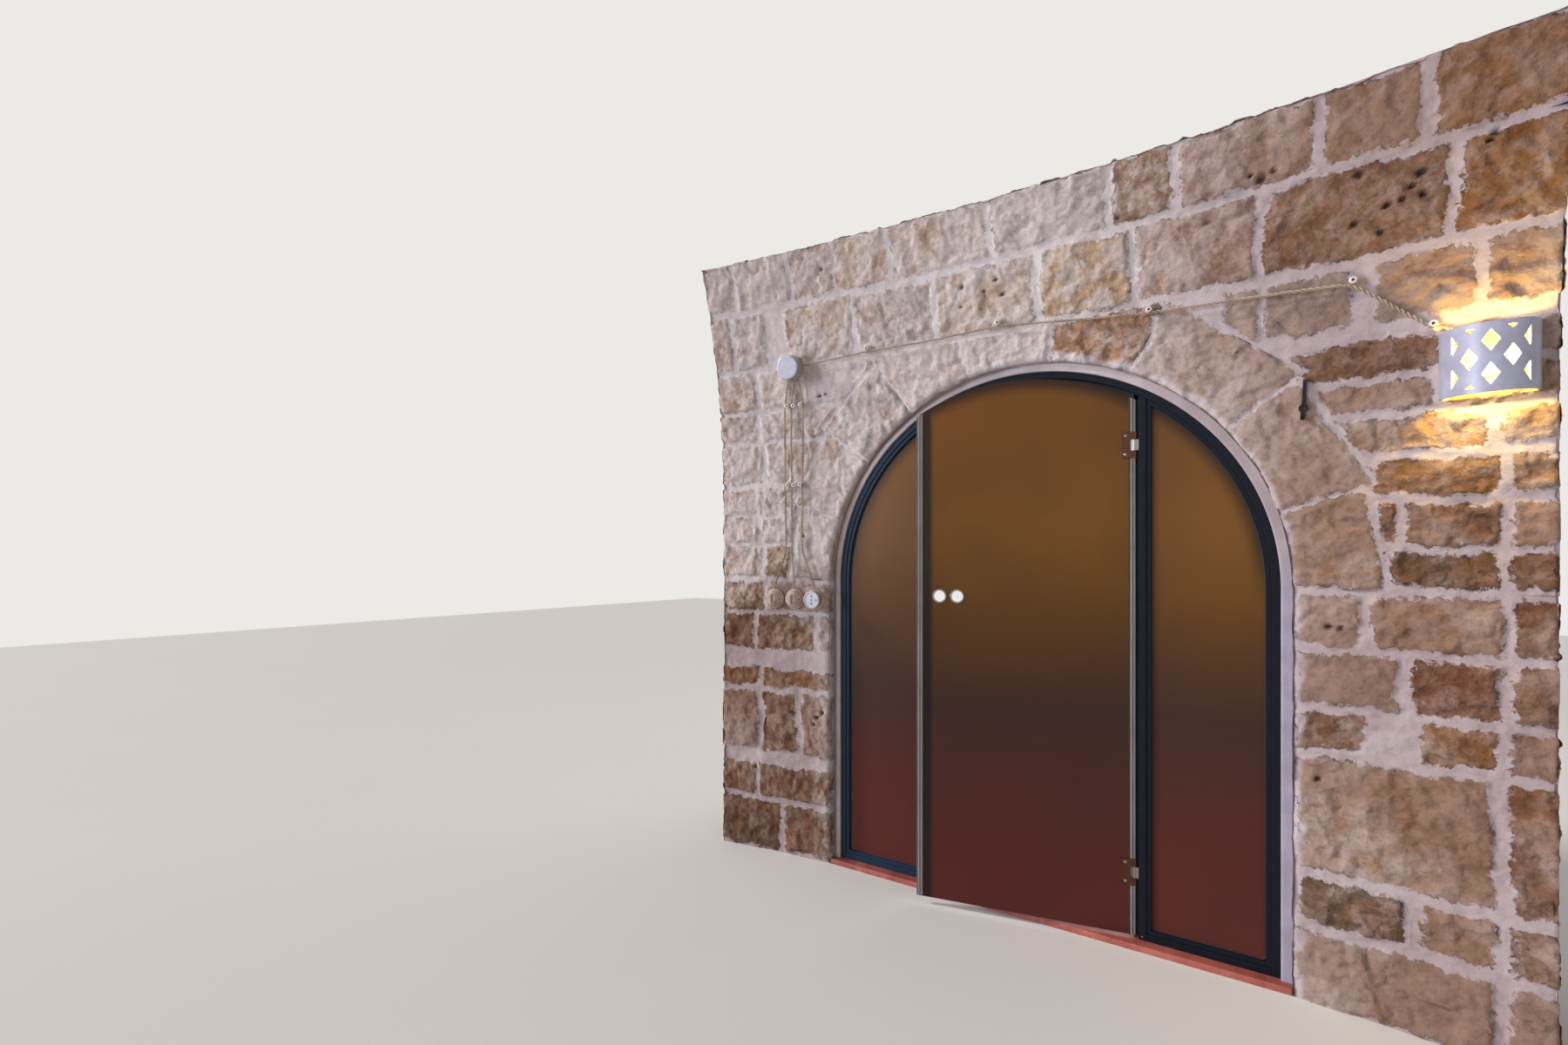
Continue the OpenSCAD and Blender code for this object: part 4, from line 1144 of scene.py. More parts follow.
def glazed_clay():
    """Thrown clay with a greyish white tin glaze: satin gloss, pooled and faintly speckled."""
    look = bpy.context.scene.trullo_fittings
    mat, put, at, shader = new_material("clay_tin_glazed")
    pooled = put(RANGE, [put(NOISE, [at, per(30), 4.0, 0.55]), 0.3, 0.7], **EASED)
    tone = put(MIX, [pooled, srgb(look.shade_colour), linear("#9797a6")], **BLEND)
    speck = put(RANGE, [put(NOISE, [at, per(2.6), 3.0, 0.55]), 0.66, 0.74, 0.0, 0.5], **EASED)
    wave = put(NOISE, [at, per(13), 3.0, 0.55])
    feed(shader, {
        "Base Color": put(MIX, [speck, tone, linear("#9a8d83")], **BLEND), "Roughness": 0.34, "IOR": 1.5,
        "Subsurface Weight": 0.08, "Subsurface Scale": 0.004,
        "Normal": put(BUMP, {"Height": wave, "Distance": 0.4 * MM, "Strength": 0.5}),
    })
    return mat


def lit_opal():
    """Opal glass bulb, lit: an even warm glow."""
    look = bpy.context.scene.trullo_fittings
    mat, put, at, shader = new_material("opal_glass_lit")
    cloud = put(NOISE, [at, per(18), 2.0, 0.55])
    feed(shader, {
        "Base Color": put(MIX, [cloud, linear("#fff3dc"), linear("#f7dfae")], **BLEND), "Roughness": 0.3,
        "Emission Color": srgb(look.glow_colour), "Emission Strength": look.glow,
    })
    return mat


def forged_iron():
    """Bar iron, forged and waxed: black-brown, hammered, a little rust in the hollows."""
    mat, put, at, shader = new_material("iron_forged_waxed")
    rust = put(RANGE, [put(NOISE, [at, per(9), 4.0, 0.65]), 0.5, 0.66], **EASED)
    hammered = put(NOISE, [at, per(7), 3.0, 0.55])
    feed(shader, {
        "Base Color": put(MIX, [rust, linear("#1f1b19"), linear("#4b3121")], **BLEND), "Metallic": 0.7,
        "Roughness": put(RANGE, [rust, 0.0, 1.0, 0.42, 0.75], **EASED),
        "Normal": put(BUMP, {"Height": hammered, "Distance": 1.0 * MM, "Strength": 0.7}),
    })
    return mat


def cloth_cable():
    """Twisted flex in a woven cotton sleeve: cream, matt, a plait of about 1.5 mm."""
    look = bpy.context.scene.trullo_fittings
    mat, put, at, shader = new_material("cotton_sleeved_flex")
    plait = put(CELLS, {"Vector": at, "Scale": 640.0})
    grime = put(RANGE, [put(NOISE, [at, per(42), 4.0, 0.55]), 0.4, 0.7, 0.0, 0.55], **EASED)
    feed(shader, {
        "Base Color": put(MIX, [grime, srgb(look.cable_colour), linear("#6b5643")], **BLEND), "Roughness": 0.9,
        "Sheen Weight": 0.3, "Normal": put(BUMP, {"Height": plait, "Distance": 0.4 * MM, "Strength": 0.6}),
    })
    return mat


# ---------------------------------------------------------------- repeating pieces


def new_tree(name, sockets):
    """A geometry node tree with named inputs. Gives the tree, what adds its nodes, and its inputs."""
    tree = bpy.data.node_groups.new(name, "GeometryNodeTree")
    tree.interface.new_socket("Geometry", in_out="INPUT", socket_type="NodeSocketGeometry")
    tree.interface.new_socket("Geometry", in_out="OUTPUT", socket_type="NodeSocketGeometry")
    for label, kind, default in sockets:
        socket = tree.interface.new_socket(label, in_out="INPUT", socket_type="NodeSocket" + kind)
        if default is not None:
            socket.default_value = default
    put = partial(add, tree)
    return tree, put, put("NodeGroupInput").outputs


def run_tree(obj, tree, values):
    """Runs a tree on obj with the named inputs set and gives the result as a plain mesh."""
    mod = obj.modifiers.new(tree.name, "NODES")
    mod.node_group = tree
    for item in tree.interface.items_tree:
        if item.item_type == "SOCKET" and item.in_out == "INPUT" and item.name in values:
            mod[item.identifier] = values[item.name]
    return baked(obj)


def close_tree(put, geometry, material):
    """Ends a tree in Realize Instances and Set Material."""
    real = put("GeometryNodeRealizeInstances", [geometry])
    shaded = put("GeometryNodeSetShadeSmooth", [real])
    painted = put("GeometryNodeSetMaterial", {"Geometry": shaded, "Material": material})
    put("NodeGroupOutput", [painted])


def bead_tree():
    """A round bead or gasket along a path."""
    tree, put, given = new_tree("Bead along a path", (
        ("Width", "Float", 0.003), ("Spacing", "Float", 0.012), ("Material", "Material", None),
    ))
    path = put("GeometryNodeMeshToCurve", [given["Geometry"]])
    even = put("GeometryNodeResampleCurve", {"Curve": path, "Length": given["Spacing"]}, mode="LENGTH")
    half = put(MATHS, [given["Width"], 0.5], operation="MULTIPLY")
    ring = put("GeometryNodeCurvePrimitiveCircle", {"Resolution": 8, "Radius": half})
    tube = put("GeometryNodeCurveToMesh", {"Curve": even, "Profile Curve": ring, "Fill Caps": True})
    close_tree(put, tube, given["Material"])
    return tree


def repeat_tree():
    """The same small piece at every point, its Z along the point's axis and turned by the point's spin."""
    tree, put, given = new_tree("Repeat on points", (
        ("Piece", "Object", None), ("Size", "Float", 1.0), ("Spin jitter", "Float", 0.0),
        ("Material", "Material", None),
    ))
    what = put("GeometryNodeObjectInfo", [given["Piece"]])
    axis = put("GeometryNodeInputNamedAttribute", ["axis"], data_type="FLOAT_VECTOR")
    spin = put("GeometryNodeInputNamedAttribute", ["spin"], data_type="FLOAT")
    turn = put("FunctionNodeAlignRotationToVector", {"Vector": axis}, axis="Z")
    wobble = put("FunctionNodeRandomValue", {"Max": given["Spin jitter"], "Seed": 7}, data_type="FLOAT")
    total = put(MATHS, [spin, wobble], operation="ADD")
    about = put("FunctionNodeAxisAngleToRotation", {"Axis": (0, 0, 1), "Angle": total})
    both = put("FunctionNodeRotateRotation", [turn, about], rotation_space="LOCAL")
    placed = put("GeometryNodeInstanceOnPoints", {
        "Points": given["Geometry"], "Instance": what.outputs["Geometry"], "Rotation": both,
        "Scale": given["Size"],
    })
    close_tree(put, placed, given["Material"])
    return tree


def flex_tree():
    """Two strands twisted round each other along a path, laid with a little slack."""
    tree, put, given = new_tree("Twisted flex", (
        ("Strand", "Float", 0.0032), ("Pitch", "Float", 0.026), ("Slack", "Float", 0.0012),
        ("Seed", "Float", 3.0), ("Material", "Material", None),
    ))
    path = put("GeometryNodeMeshToCurve", [given["Geometry"]])
    even = put("GeometryNodeResampleCurve", {"Curve": path, "Length": 0.003}, mode="LENGTH")
    drift = put(NOISE, {
        "Vector": put("GeometryNodeInputPosition"), "W": given["Seed"], "Scale": 22.0, "Detail": 1.0,
    }, noise_dimensions="4D")
    centred = put(VECTORS, [drift.outputs["Color"], (0.5, 0.5, 0.5)], operation="SUBTRACT")
    slack = put(VECTORS, [centred, given["Slack"]], operation="SCALE")
    loose = put(VECTORS, [slack, 3.0], operation="SCALE")
    along = put("GeometryNodeSplineParameter").outputs["Length"]
    turns = put(MATHS, [along, given["Pitch"]], operation="DIVIDE")
    radius = put(MATHS, [given["Strand"], 0.5], operation="MULTIPLY")
    lay = put(MATHS, [given["Strand"], 0.72], operation="MULTIPLY")
    normal = put("GeometryNodeInputNormal")
    cross = put(VECTORS, [put("GeometryNodeInputTangent"), normal], operation="CROSS_PRODUCT")
    ring = put("GeometryNodeCurvePrimitiveCircle", {"Resolution": 7, "Radius": radius})
    strands = put("GeometryNodeJoinGeometry")
    for phase in (0.0, math.pi):
        angle = put(MATHS, [turns, 2 * math.pi, phase], operation="MULTIPLY_ADD")
        parts = []
        for kind, way in (("COSINE", normal), ("SINE", cross)):
            reach = put(MATHS, [put(MATHS, [angle], operation=kind), lay], operation="MULTIPLY")
            parts.append(put(VECTORS, [way, reach], operation="SCALE"))
        offset = put(VECTORS, [put(VECTORS, parts, operation="ADD"), loose], operation="ADD")
        moved = put("GeometryNodeSetPosition", {"Geometry": even, "Offset": offset})
        tube = put("GeometryNodeCurveToMesh", {"Curve": moved, "Profile Curve": ring, "Fill Caps": True})
        feed(strands, [tube])
    close_tree(put, strands, given["Material"])
    return tree


def path_mesh(name, runs, closed=False):
    """Polylines in mm as a mesh of edges, for a tree to sweep along."""
    points, edges = [], []
    for run in runs:
        start = len(points)
        points.extend([tuple(Vector(q) * MM) for q in run])
        edges.extend((k, k + 1) for k in range(start, len(points) - 1))
        if closed:
            edges.append((len(points) - 1, start))
    mesh = bpy.data.meshes.new(name)
    mesh.from_pydata(points, edges, [])
    return mesh


def points_mesh(name, seats):
    """Seats as a mesh of loose points; each seat is (matrix, spin) and its Z is kept as the point's axis."""
    mesh = bpy.data.meshes.new(name)
    mesh.from_pydata([tuple(m.to_translation()) for m, _ in seats], [], [])
    axis = mesh.attributes.new("axis", "FLOAT_VECTOR", "POINT")
    axis.data.foreach_set("vector", [c for m, _ in seats for c in m.to_3x3().col[2].normalized()])
    spin = mesh.attributes.new("spin", "FLOAT", "POINT")
    spin.data.foreach_set("value", [s for _, s in seats])
    return mesh


def repeated(name, seats, sample, mat, jitter=0.0):
    """The sample mesh at every seat, as one plain mesh."""
    holder = scratch(name + "_sample", sample)
    mesh = run_tree(scratch(name, points_mesh(name, seats)), repeat_tree(), {
        "Piece": holder, "Size": 1.0, "Spin jitter": jitter, "Material": mat,
    })
    bpy.data.objects.remove(holder)
    smooth(mesh, 32)
    return mesh


def screw_head(head_r, height, slot_w):
    """A screw head with its slot, pointing up Z, in mm."""
    work = bmesh.new()
    crown_r = head_r * 0.72
    profile = ((head_r, 0), (head_r, height * 0.45), (head_r * 0.9, height * 0.82), (crown_r, height))
    loops = [ring_of(work, radius, level, 20) for radius, level in profile]
    for one, two in zip(loops, loops[1:]):
        band(work, one, two)
    work.faces.new(loops[0][::-1])
    top = loops[-1]
    half, deep = slot_w / 2 * MM, height * 0.55 * MM
    reach = crown_r * MM
    cut = math.sqrt(max(reach**2 - half**2, 0))
    corners = [(-cut, -half), (cut, -half), (cut, half), (-cut, half)]
    rim = [work.verts.new((x, y, height * MM)) for x, y in corners]
    floor = [work.verts.new((x, y, height * MM - deep)) for x, y in corners]
    for k in range(4):
        n = (k + 1) % 4
        work.faces.new((rim[k], rim[n], floor[n], floor[k]))
    work.faces.new(floor)
    # The crown's points on each side of the slot, from left to right, and the two in line with it
    lower = sorted((v for v in top if v.co.y < -1e-7), key=lambda v: v.co.x)
    upper = sorted((v for v in top if v.co.y > 1e-7), key=lambda v: v.co.x)
    left, right = sorted((v for v in top if abs(v.co.y) <= 1e-7), key=lambda v: v.co.x)
    work.faces.new([left, *lower, right, rim[1], rim[0]])
    work.faces.new([rim[3], rim[2], right, *reversed(upper), left])
    work.faces.new((left, rim[0], rim[3]))
    work.faces.new((right, rim[2], rim[1]))
    return finished("screw_head", work, 30)


# ---------------------------------------------------------------- sizes and colours


def colour_prop(name, description, default):
    """A colour property with its default given as sRGB hex."""
    return bpy.props.FloatVectorProperty(
        name=name, description=description, default=linear(default)[:3], subtype="COLOR", size=3, min=0.0,
        max=1.0,
    )


def amount_prop(name, description, default, low=0.0, **more):
    """A number from low upwards; more says what it measures."""
    return bpy.props.FloatProperty(name=name, description=description, default=default, min=low, **more)


def length_prop(name, description, default, low=0.0):
    """A length in metres."""
    return amount_prop(name, description, default, low, subtype="DISTANCE", unit="LENGTH", precision=4)


def share_prop(name, description, default):
    """A share from 0 to 1."""
    return amount_prop(name, description, default, max=1.0, subtype="FACTOR")


def power_prop(name, description, default):
    """A lamp's power in watts."""
    return amount_prop(name, description, default, subtype="POWER", unit="POWER")


class TrulloMasonry(bpy.types.PropertyGroup):
    """Sizes and colours of the stonework, its lime and the threshold."""

    grid: length_prop("Grid", "Spacing of the points that shape the stones", 0.0068, 0.004)
    relief: length_prop("Relief", "How rough the split faces are", 0.0034)
    joint_depth: length_prop("Joint depth", "How far the mortar lies back between stones", 0.0135)
    stain: share_prop("Stain", "How strongly iron stains the stone", 0.5)
    bloom: share_prop("Lime wash", "How thickly the old lime wash covers the stone", 0.86)
    stain_colour: colour_prop("Stain colour", "Iron stain in the stone", "#ab8055")
    bloom_colour: colour_prop("Wash colour", "Lime wash left on the stone", "#cabeb8")
    mortar_colour: colour_prop("Mortar", "Lime mortar in the joints", "#cfc5c3")
    plaster_colour: colour_prop("Plaster", "Lime plaster round the frame", "#cfc6c5")
    cement_colour: colour_prop("Cement", "Burnished cement of the threshold", "#a1554a")


class TrulloJoinery(bpy.types.PropertyGroup):
    """Sizes and colours of the screen and the glass leaf."""

    edge: length_prop("Edge radius", "Rounding of the steel tubes' corners", 0.0012)
    gasket: length_prop("Gasket", "Width of the rubber line at the side lights", 0.0034)
    frame_colour: colour_prop("Frame", "Powder coat on the steel", "#14171f")
    glass_colour: colour_prop("Glass", "Bronze tint of the glass", "#5d3b19")
    glass_top: colour_prop("Glass top", "Its warmer tint above", "#7e5421")
    # Painted reflection of a red floor, low down on the glass
    glass_floor_reflection: colour_prop("Glass foot", "Its redder tint low down", "#5a2722")
    glass_clearness: share_prop("Clearness", "How much light the glass lets through", 0.08)
    glass_satin: share_prop("Satin", "How frosted the glass is", 0.28)


class TrulloFittings(bpy.types.PropertyGroup):
    """Sizes and colours of what is fixed on the wall."""

    strand: length_prop("Strand", "Thickness of one strand of the flex", 0.004)
    pitch: length_prop("Twist", "Length of one turn of the flex", 0.032)
    slack: length_prop("Slack", "How far the flex wanders from a straight lay", 0.0014)
    cable_colour: colour_prop("Flex", "Cotton sleeve of the flex", "#ab9780")
    shade_colour: colour_prop("Shade", "Glaze of the lamp shade", "#a6a7b9")
    glow_colour: colour_prop("Glow", "Light of the bulb", "#ffd27a")
    glow: amount_prop("Glow strength", "How brightly the bulb itself shows", 1.5)
    light: power_prop("Lamp light", "Power of the bulb's light", 6.0)


class TrulloStudio(bpy.types.PropertyGroup):
    """The floor, the lamps and the camera."""

    floor_colour: colour_prop("Floor", "Colour of the studio floor", "#e9e6e2")
    key: amount_prop("Key light", "Strength of the two far lights that rake the wall", 2.15)
    fill: power_prop("Fill lamp", "Power of the fill lamps", 26.0)
    sky: amount_prop("Sky", "Strength of the even light", 0.34)
    lens: amount_prop("Lens", "Focal length of the camera", 16.0, 8.0, subtype="DISTANCE_CAMERA", unit="CAMERA")


# ---------------------------------------------------------------- pieces


class TRULLO_OT_masonry(bpy.types.Operator):
    """Lay the piers, spandrels, courses and the ring of voussoirs"""

    bl_idname = "trullo.masonry"
    bl_label = "Stonework"

    def execute(self, context):
        stone = limestone()
        for name, mesh in stone_meshes().items():
            piece(name + "_stonework", mesh, stone, "root", (name,))
        return {"FINISHED"}


class TRULLO_OT_lining(bpy.types.Operator):
    """Float the lime lining between the stones and the steel"""

    bl_idname = "trullo.lining"
    bl_label = "Lime lining"

    def execute(self, context):
        inner, middle = FRAME_R + SEAT, 760.0
        rows = list(np.arange(SILL, SPRING_Z, 9.0))
        arc = [math.pi * k / 280 for k in range(281)]
        across = (0.0, 0.5, 2.0, 5.0, 10.0, 16.0, 22.0, LINING_OUT - inner)
        depths = (0.5, 2.0, 6.0, 14.0, 60.0, 250.0, 420.0, 590.0)
        # Sections up the left side, over the arch and down the right: side, angle or None, height or None
        stations = [(-1, None, z) for z in rows] + [(0, math.pi - a, None) for a in arc]
        stations += [(1, None, z) for z in reversed(rows)]
        work = bmesh.new()
        rings = []
        for side, a, z in stations:
            spot = (side * middle, z) if a is None else (middle * math.cos(a), SPRING_Z + middle * math.sin(a))
            where = np.array([spot])
            wave = float(lumps(where, 85, 501)[0]) * 1.1 + float(lumps(where, 27, 502)[0]) * 0.6
            edge = float(lumps(where, 60, 503)[0]) * 0.8
            section = []
            for r in across:
                back = 1.5 + wave + 0.05 * (r - 12) * edge + float(rounded(np.array(r), 3.5))
                out = max(0.0, edge) * 0.6 if r == 0 else 0
                section.append((inner + r + out, LINING_FRONT + max(0.05, back)))
            section.append((LINING_OUT, WALL_BACK - 0.5))
            front = LINING_FRONT + max(0.05, 5 + wave)
            section.extend((inner, front + d) for d in reversed(depths))
            ring = []
            for r, y in section:
                x, up = (side * r, z) if a is None else (r * math.cos(a), SPRING_Z + r * math.sin(a))
                ring.append(work.verts.new((x * MM, y * MM, up * MM)))
            rings.append(ring)
        swept(work, rings)
        mesh = finished("lime_lining_floated", work, 40)
        piece("lime_lining_floated", mesh, lime_plaster(), "root", ("lime_lining",))
        return {"FINISHED"}


class TRULLO_OT_threshold(bpy.types.Operator):
    """Float and burnish the red cement threshold"""

    bl_idname = "trullo.threshold"
    bl_label = "Threshold"

    def execute(self, context):
        soft_node("threshold", burnished_cement(), 3.0, segments=3)
        return {"FINISHED"}


def light_outline(side, inset):
    """The outline of a side light, in mm, drawn in by inset from its frame."""
    left, low, reach = MULL_OUT + inset, RAIL_TOP + inset, INNER_R - inset
    rise = math.acos(left / reach)
    run = [(left, low), (reach, low)]
    run += [(reach * math.cos(rise * k / 60), SPRING_Z + reach * math.sin(rise * k / 60)) for k in range(61)]
    return [(side * x, z) for x, z in run]


class TRULLO_OT_screen(bpy.types.Operator):
    """Weld, coat and glaze the steel screen with its two side lights"""

    bl_idname = "trullo.screen"
    bl_label = "Steel screen"

    def execute(self, context):
        look = context.scene.trullo_joinery
        coat, gum = powder_coat(), rubber()
        for node in ("left_outer_stile", "right_outer_stile", "door_head", "left_mullion", "right_mullion",
                     "left_bottom_rail", "right_bottom_rail"):
            soft_node(node, coat, look.edge / MM)
        for node in ("left_light_beads", "right_light_beads"):
            soft_node(node, coat, 0.8)
        glass = frosted_glass("bronze_glass_side_lights", INNER_R - 6)
        runs = []
        for side, word in ((-1, "left"), (1, "right")):
            soft_node(word + "_light_glass", glass, 0.4)
            for y in (LIGHT_INSET - 0.6, LIGHT_INSET + GLASS_T + 0.6):
                runs.append([(x, y, z) for x, z in light_outline(side, GASKET_INSET)])
        paths = scratch("side_light_gaskets", path_mesh("gasket_paths", runs, True))
        mesh = run_tree(paths, bead_tree(), {"Width": look.gasket, "Spacing": 0.012, "Material": gum})
        piece("side_light_gaskets", mesh, gum)
        # Rubber stops behind the leaf: a real stop, which also puts painted shade where the gap round the leaf
        # would show light
        strips = []
        near, far = STOP_Y, STOP_Y + STOP_T
        for x in (-MULL_IN, MULL_IN - STOP_W):
            section = [(x, near), (x + STOP_W, near), (x + STOP_W, far), (x, far)]
            strips.append(seal_mesh("stop", section, [(SILL + 0.5, None)], INNER_R - 1, False))
        start = math.degrees(math.acos(MULL_IN / INNER_R))
        strips.append(arch_strip("stop", (INNER_R - STOP_W, INNER_R), (near, far), (start, 180 - start)))
        piece("leaf_stop_gaskets", joined("leaf_stop_gaskets", strips), gum)
        middle = (MULL_IN + MULL_OUT) / 2
        seats = [
            (Matrix.Translation(Vector((x, 0.2, 31)) * MM) @ Matrix.Rotation(math.pi / 2, 4, "X"), spin)
            for x, spin in ((middle, 0.4), (-middle, 1.1))
        ]
        bright = chrome("chrome_polished", *CHROME_TONES)
        piece("screen_foot_screws", repeated("screen_foot_screws", seats, screw_head(3.2, 1.4, 0.8), bright))
        return {"FINISHED"}


def seal_mesh(name, section, stretches, reach=LEAF_TOP_R - 3, turn=True):
    """A section, in mm across the doorway, run up each stretch and cut to the arch; ajar if turn is set."""
    work = bmesh.new()
    for low, high in stretches:
        rings = []
        # A stretch without an upper end runs on to the arch
        for z in [low, *np.arange(low + 30, high or 1600, 60.0), high]:
            ring = []
            for x, y in section:
                top = SPRING_Z + math.sqrt(reach**2 - x**2) if z is None else z
                ring.append(work.verts.new((x * MM, y * MM, top * MM)))
            rings.append(ring)
        swept(work, rings)
    return finished(name, work, 28, leaf_matrix() if turn else None)


def arch_strip(name, radii, depths, degs):
    """A strip that follows the arch between two angles, between two radii and two depths in mm."""
    work = bmesh.new()
    (inner, outer), (near, far) = radii, depths
    section = ((inner, near), (outer, near), (outer, far), (inner, far))
    rings = []
    for a in np.radians(np.linspace(*degs, 61)):
        spots = [(r * MM * math.cos(a), y * MM, (SPRING_Z + r * math.sin(a)) * MM) for r, y in section]
        rings.append([work.verts.new(spot) for spot in spots])
    swept(work, rings)
    return finished(name, work, 30)


def seal_section(edge, glass_edge, lip, away):
    """A channel seal's outline: it grips the glass from lip to glass_edge, and its hollow nose ends at edge.

    away is -1 where the nose points to low x."""
    y0, y1 = LEAF_INSET - SEAL_T, LEAF_INSET + GLASS_T + SEAL_T
    mid = (y0 + y1) / 2
    nose = glass_edge + away * 1.2
    outer = [
        (lip, y0 + 1.0), (lip + away * 0.8, y0), (nose - away * 3.0, y0), (nose - away * 1.6, y0 - 0.4),
        (nose, y0 - 0.4), (nose + away * 0.8, y0 + 0.8), (edge - away * 4.0, y0 + 1.2),
        (edge - away * 2.0, y0 + 0.6), (edge, mid - 2.2), (edge, mid + 2.2), (edge - away * 2.0, y1 - 0.6),
        (edge - away * 4.0, y1 - 1.2), (nose + away * 0.8, y1 - 0.8), (nose, y1 + 0.4),
        (nose - away * 1.6, y1 + 0.4), (nose - away * 3.0, y1), (lip + away * 0.8, y1), (lip, y1 - 1.0),
    ]
    front, back = LEAF_INSET, LEAF_INSET + GLASS_T
    return outer + [(lip, back), (glass_edge, back), (glass_edge, front), (lip, front)]


class TRULLO_OT_leaf(bpy.types.Operator):
    """Hang the frosted glass leaf with its seals, clamps and finger rings"""

    bl_idname = "trullo.leaf"
    bl_label = "Glass leaf"

    def execute(self, context):
        glass = frosted_glass("bronze_glass_leaf", LEAF_TOP_R, True)
        soft_node("door_glass", glass, 0.6, "leaf")
        bright, smoked = chrome("chrome_polished", *CHROME_TONES), chrome("chrome_smoked", *SMOKED_TONES)
        # The strike seal runs up the whole edge; the hinge seal stops at each clamp
        cuts = [LEAF_LOW]
        for z in HINGE_Z:
            cuts += [z - CLAMP_HALF, z + CLAMP_HALF]
        stretches = list(zip(cuts[::2], cuts[1::2] + [None]))
        for word, node, nose, grip, lip, away, runs in (
            ("strike", "strike_seal", LEAF_LEFT, GLASS_LEFT, LEAF_LEFT + STRIKE_LIP, -1, [(LEAF_LOW, None)]),
            ("hinge", "hinge_side_seal", SEAL_RIGHT, GLASS_RIGHT, SEAL_RIGHT - HINGE_LIP, 1, stretches),
        ):
            name = word + "_seal_ribbed"
            mesh = seal_mesh(name, seal_section(nose, grip, lip, away), runs)
            piece(name, mesh, clear_pvc("clear_pvc_" + word, nose, lip), "leaf", (node,))
        for node in ("lower_hinge_clamp", "upper_hinge_clamp"):
            soft_node(node, smoked, 0.7, "leaf")
        for node in ("lower_hinge_bracket", "upper_hinge_bracket"):
            soft_node(node, bright, 0.7)
        soft_node("finger_rings", bright, 0.5, "leaf", 3)
        seats = []
        front, back = LEAF_INSET - CLAMP_OUT, LEAF_INSET + GLASS_T + CLAMP_OUT
        for z in HINGE_Z:
            for up in (-CLAMP_SCREW[1], CLAMP_SCREW[1]):
                for y, turn in ((front, math.pi / 2), (back, -math.pi / 2)):
                    spot = Matrix.Translation(Vector((PIN[0] - CLAMP_SCREW[0], y, z + up)) * MM)
                    seats.append((leaf_matrix() @ (spot @ Matrix.Rotation(turn, 4, "X")), 0.6 + up / 40))
        mesh = repeated("hinge_screws", seats, screw_head(4.6, 1.3, 1.1), bright, 0.5)
        piece("hinge_screws", mesh, bright, "leaf")
        return {"FINISHED"}


def two_tone(obj, mat, seat, radius, depth):
    """Gives mat to what lies within radius mm of a fitting's axis and past depth mm from the wall."""
    obj.data.materials.append(mat)
    back = seat.inverted()
    for face in obj.data.polygons:
        spot = back @ face.center / MM
        if spot.z > depth and math.hypot(spot.x, spot.y) < radius:
            face.material_index = 1


class TRULLO_OT_switchgear(bpy.types.Operator):
    """Fix the junction box, the two rotary switches and the socket"""

    bl_idname = "trullo.switchgear"
    bl_label = "Box, switches and socket"

    def execute(self, context):
        white = glossy_fitting("thermoplastic_white_gloss", "#c9cbd8", "#bcbecb")
        darkened = glossy_fitting("thermoplastic_yellowed", "#a39a93", "#8f857d")
        china = glossy_fitting("electrical_porcelain", "#c4aea2", "#a58f83")
        # Painted light and shade: the box's front face takes the lighter, bluer plastic and its sides the
        # darker, browner one
        box = soft_node("junction_box", darkened, 1.6, segments=3)
        two_tone(box, white, face_frame(BOX[0], BOX[1], BOX[2] / 2), 60, BOX[3] - 4)
        for node in ("rotary_switch_left", "rotary_switch_right"):
            soft_node(node, china, 1.2, segments=3)
        box = soft_node("socket_outlet", china, 1.2, segments=3)
        seat = face_frame(SOCKET_X, SWITCH_Z, SWITCH_D / 2)
        two_tone(box, white, seat, *SOCKET_WELL)
        iron = forged_iron()
        seats = []
        for x in (SOCKET_X - 2 * SWITCH_PITCH, SOCKET_X - SWITCH_PITCH):
            for dx in (-COVER_SCREW[0], COVER_SCREW[0]):
                spot = Matrix.Translation(Vector((dx, 0, COVER_SCREW[1])) * MM)
                seats.append((face_frame(x, SWITCH_Z, SWITCH_D / 2) @ spot, 0.3 + dx / 30))
        piece("cover_screws", repeated("cover_screws", seats, screw_head(3.1, 4.2, 0.9), iron, 1.2))
        # Painted shade: thin black rubber discs on the socket's face stand for its pin holes
        profile = ((0, 0), (3.4, 0), (3.4, 0.5), (2.6, 0.9), (2.6, 0.55), (0, 0.55))
        holes = [
            lathe("hole", profile, seat @ Matrix.Translation(Vector((0, dz, SOCKET_FACE)) * MM), 20)
            for dz in (-PIN_PITCH, 0, PIN_PITCH)
        ]
        piece("socket_pin_holes", joined("socket_pin_holes", holes), rubber())
        centre = [(seat @ Matrix.Translation(Vector((21, 0, SOCKET_FACE)) * MM), 0.8)]
        piece("socket_screw", repeated("socket_screw", centre, screw_head(2.6, 1.2, 0.8), iron))
        return {"FINISHED"}


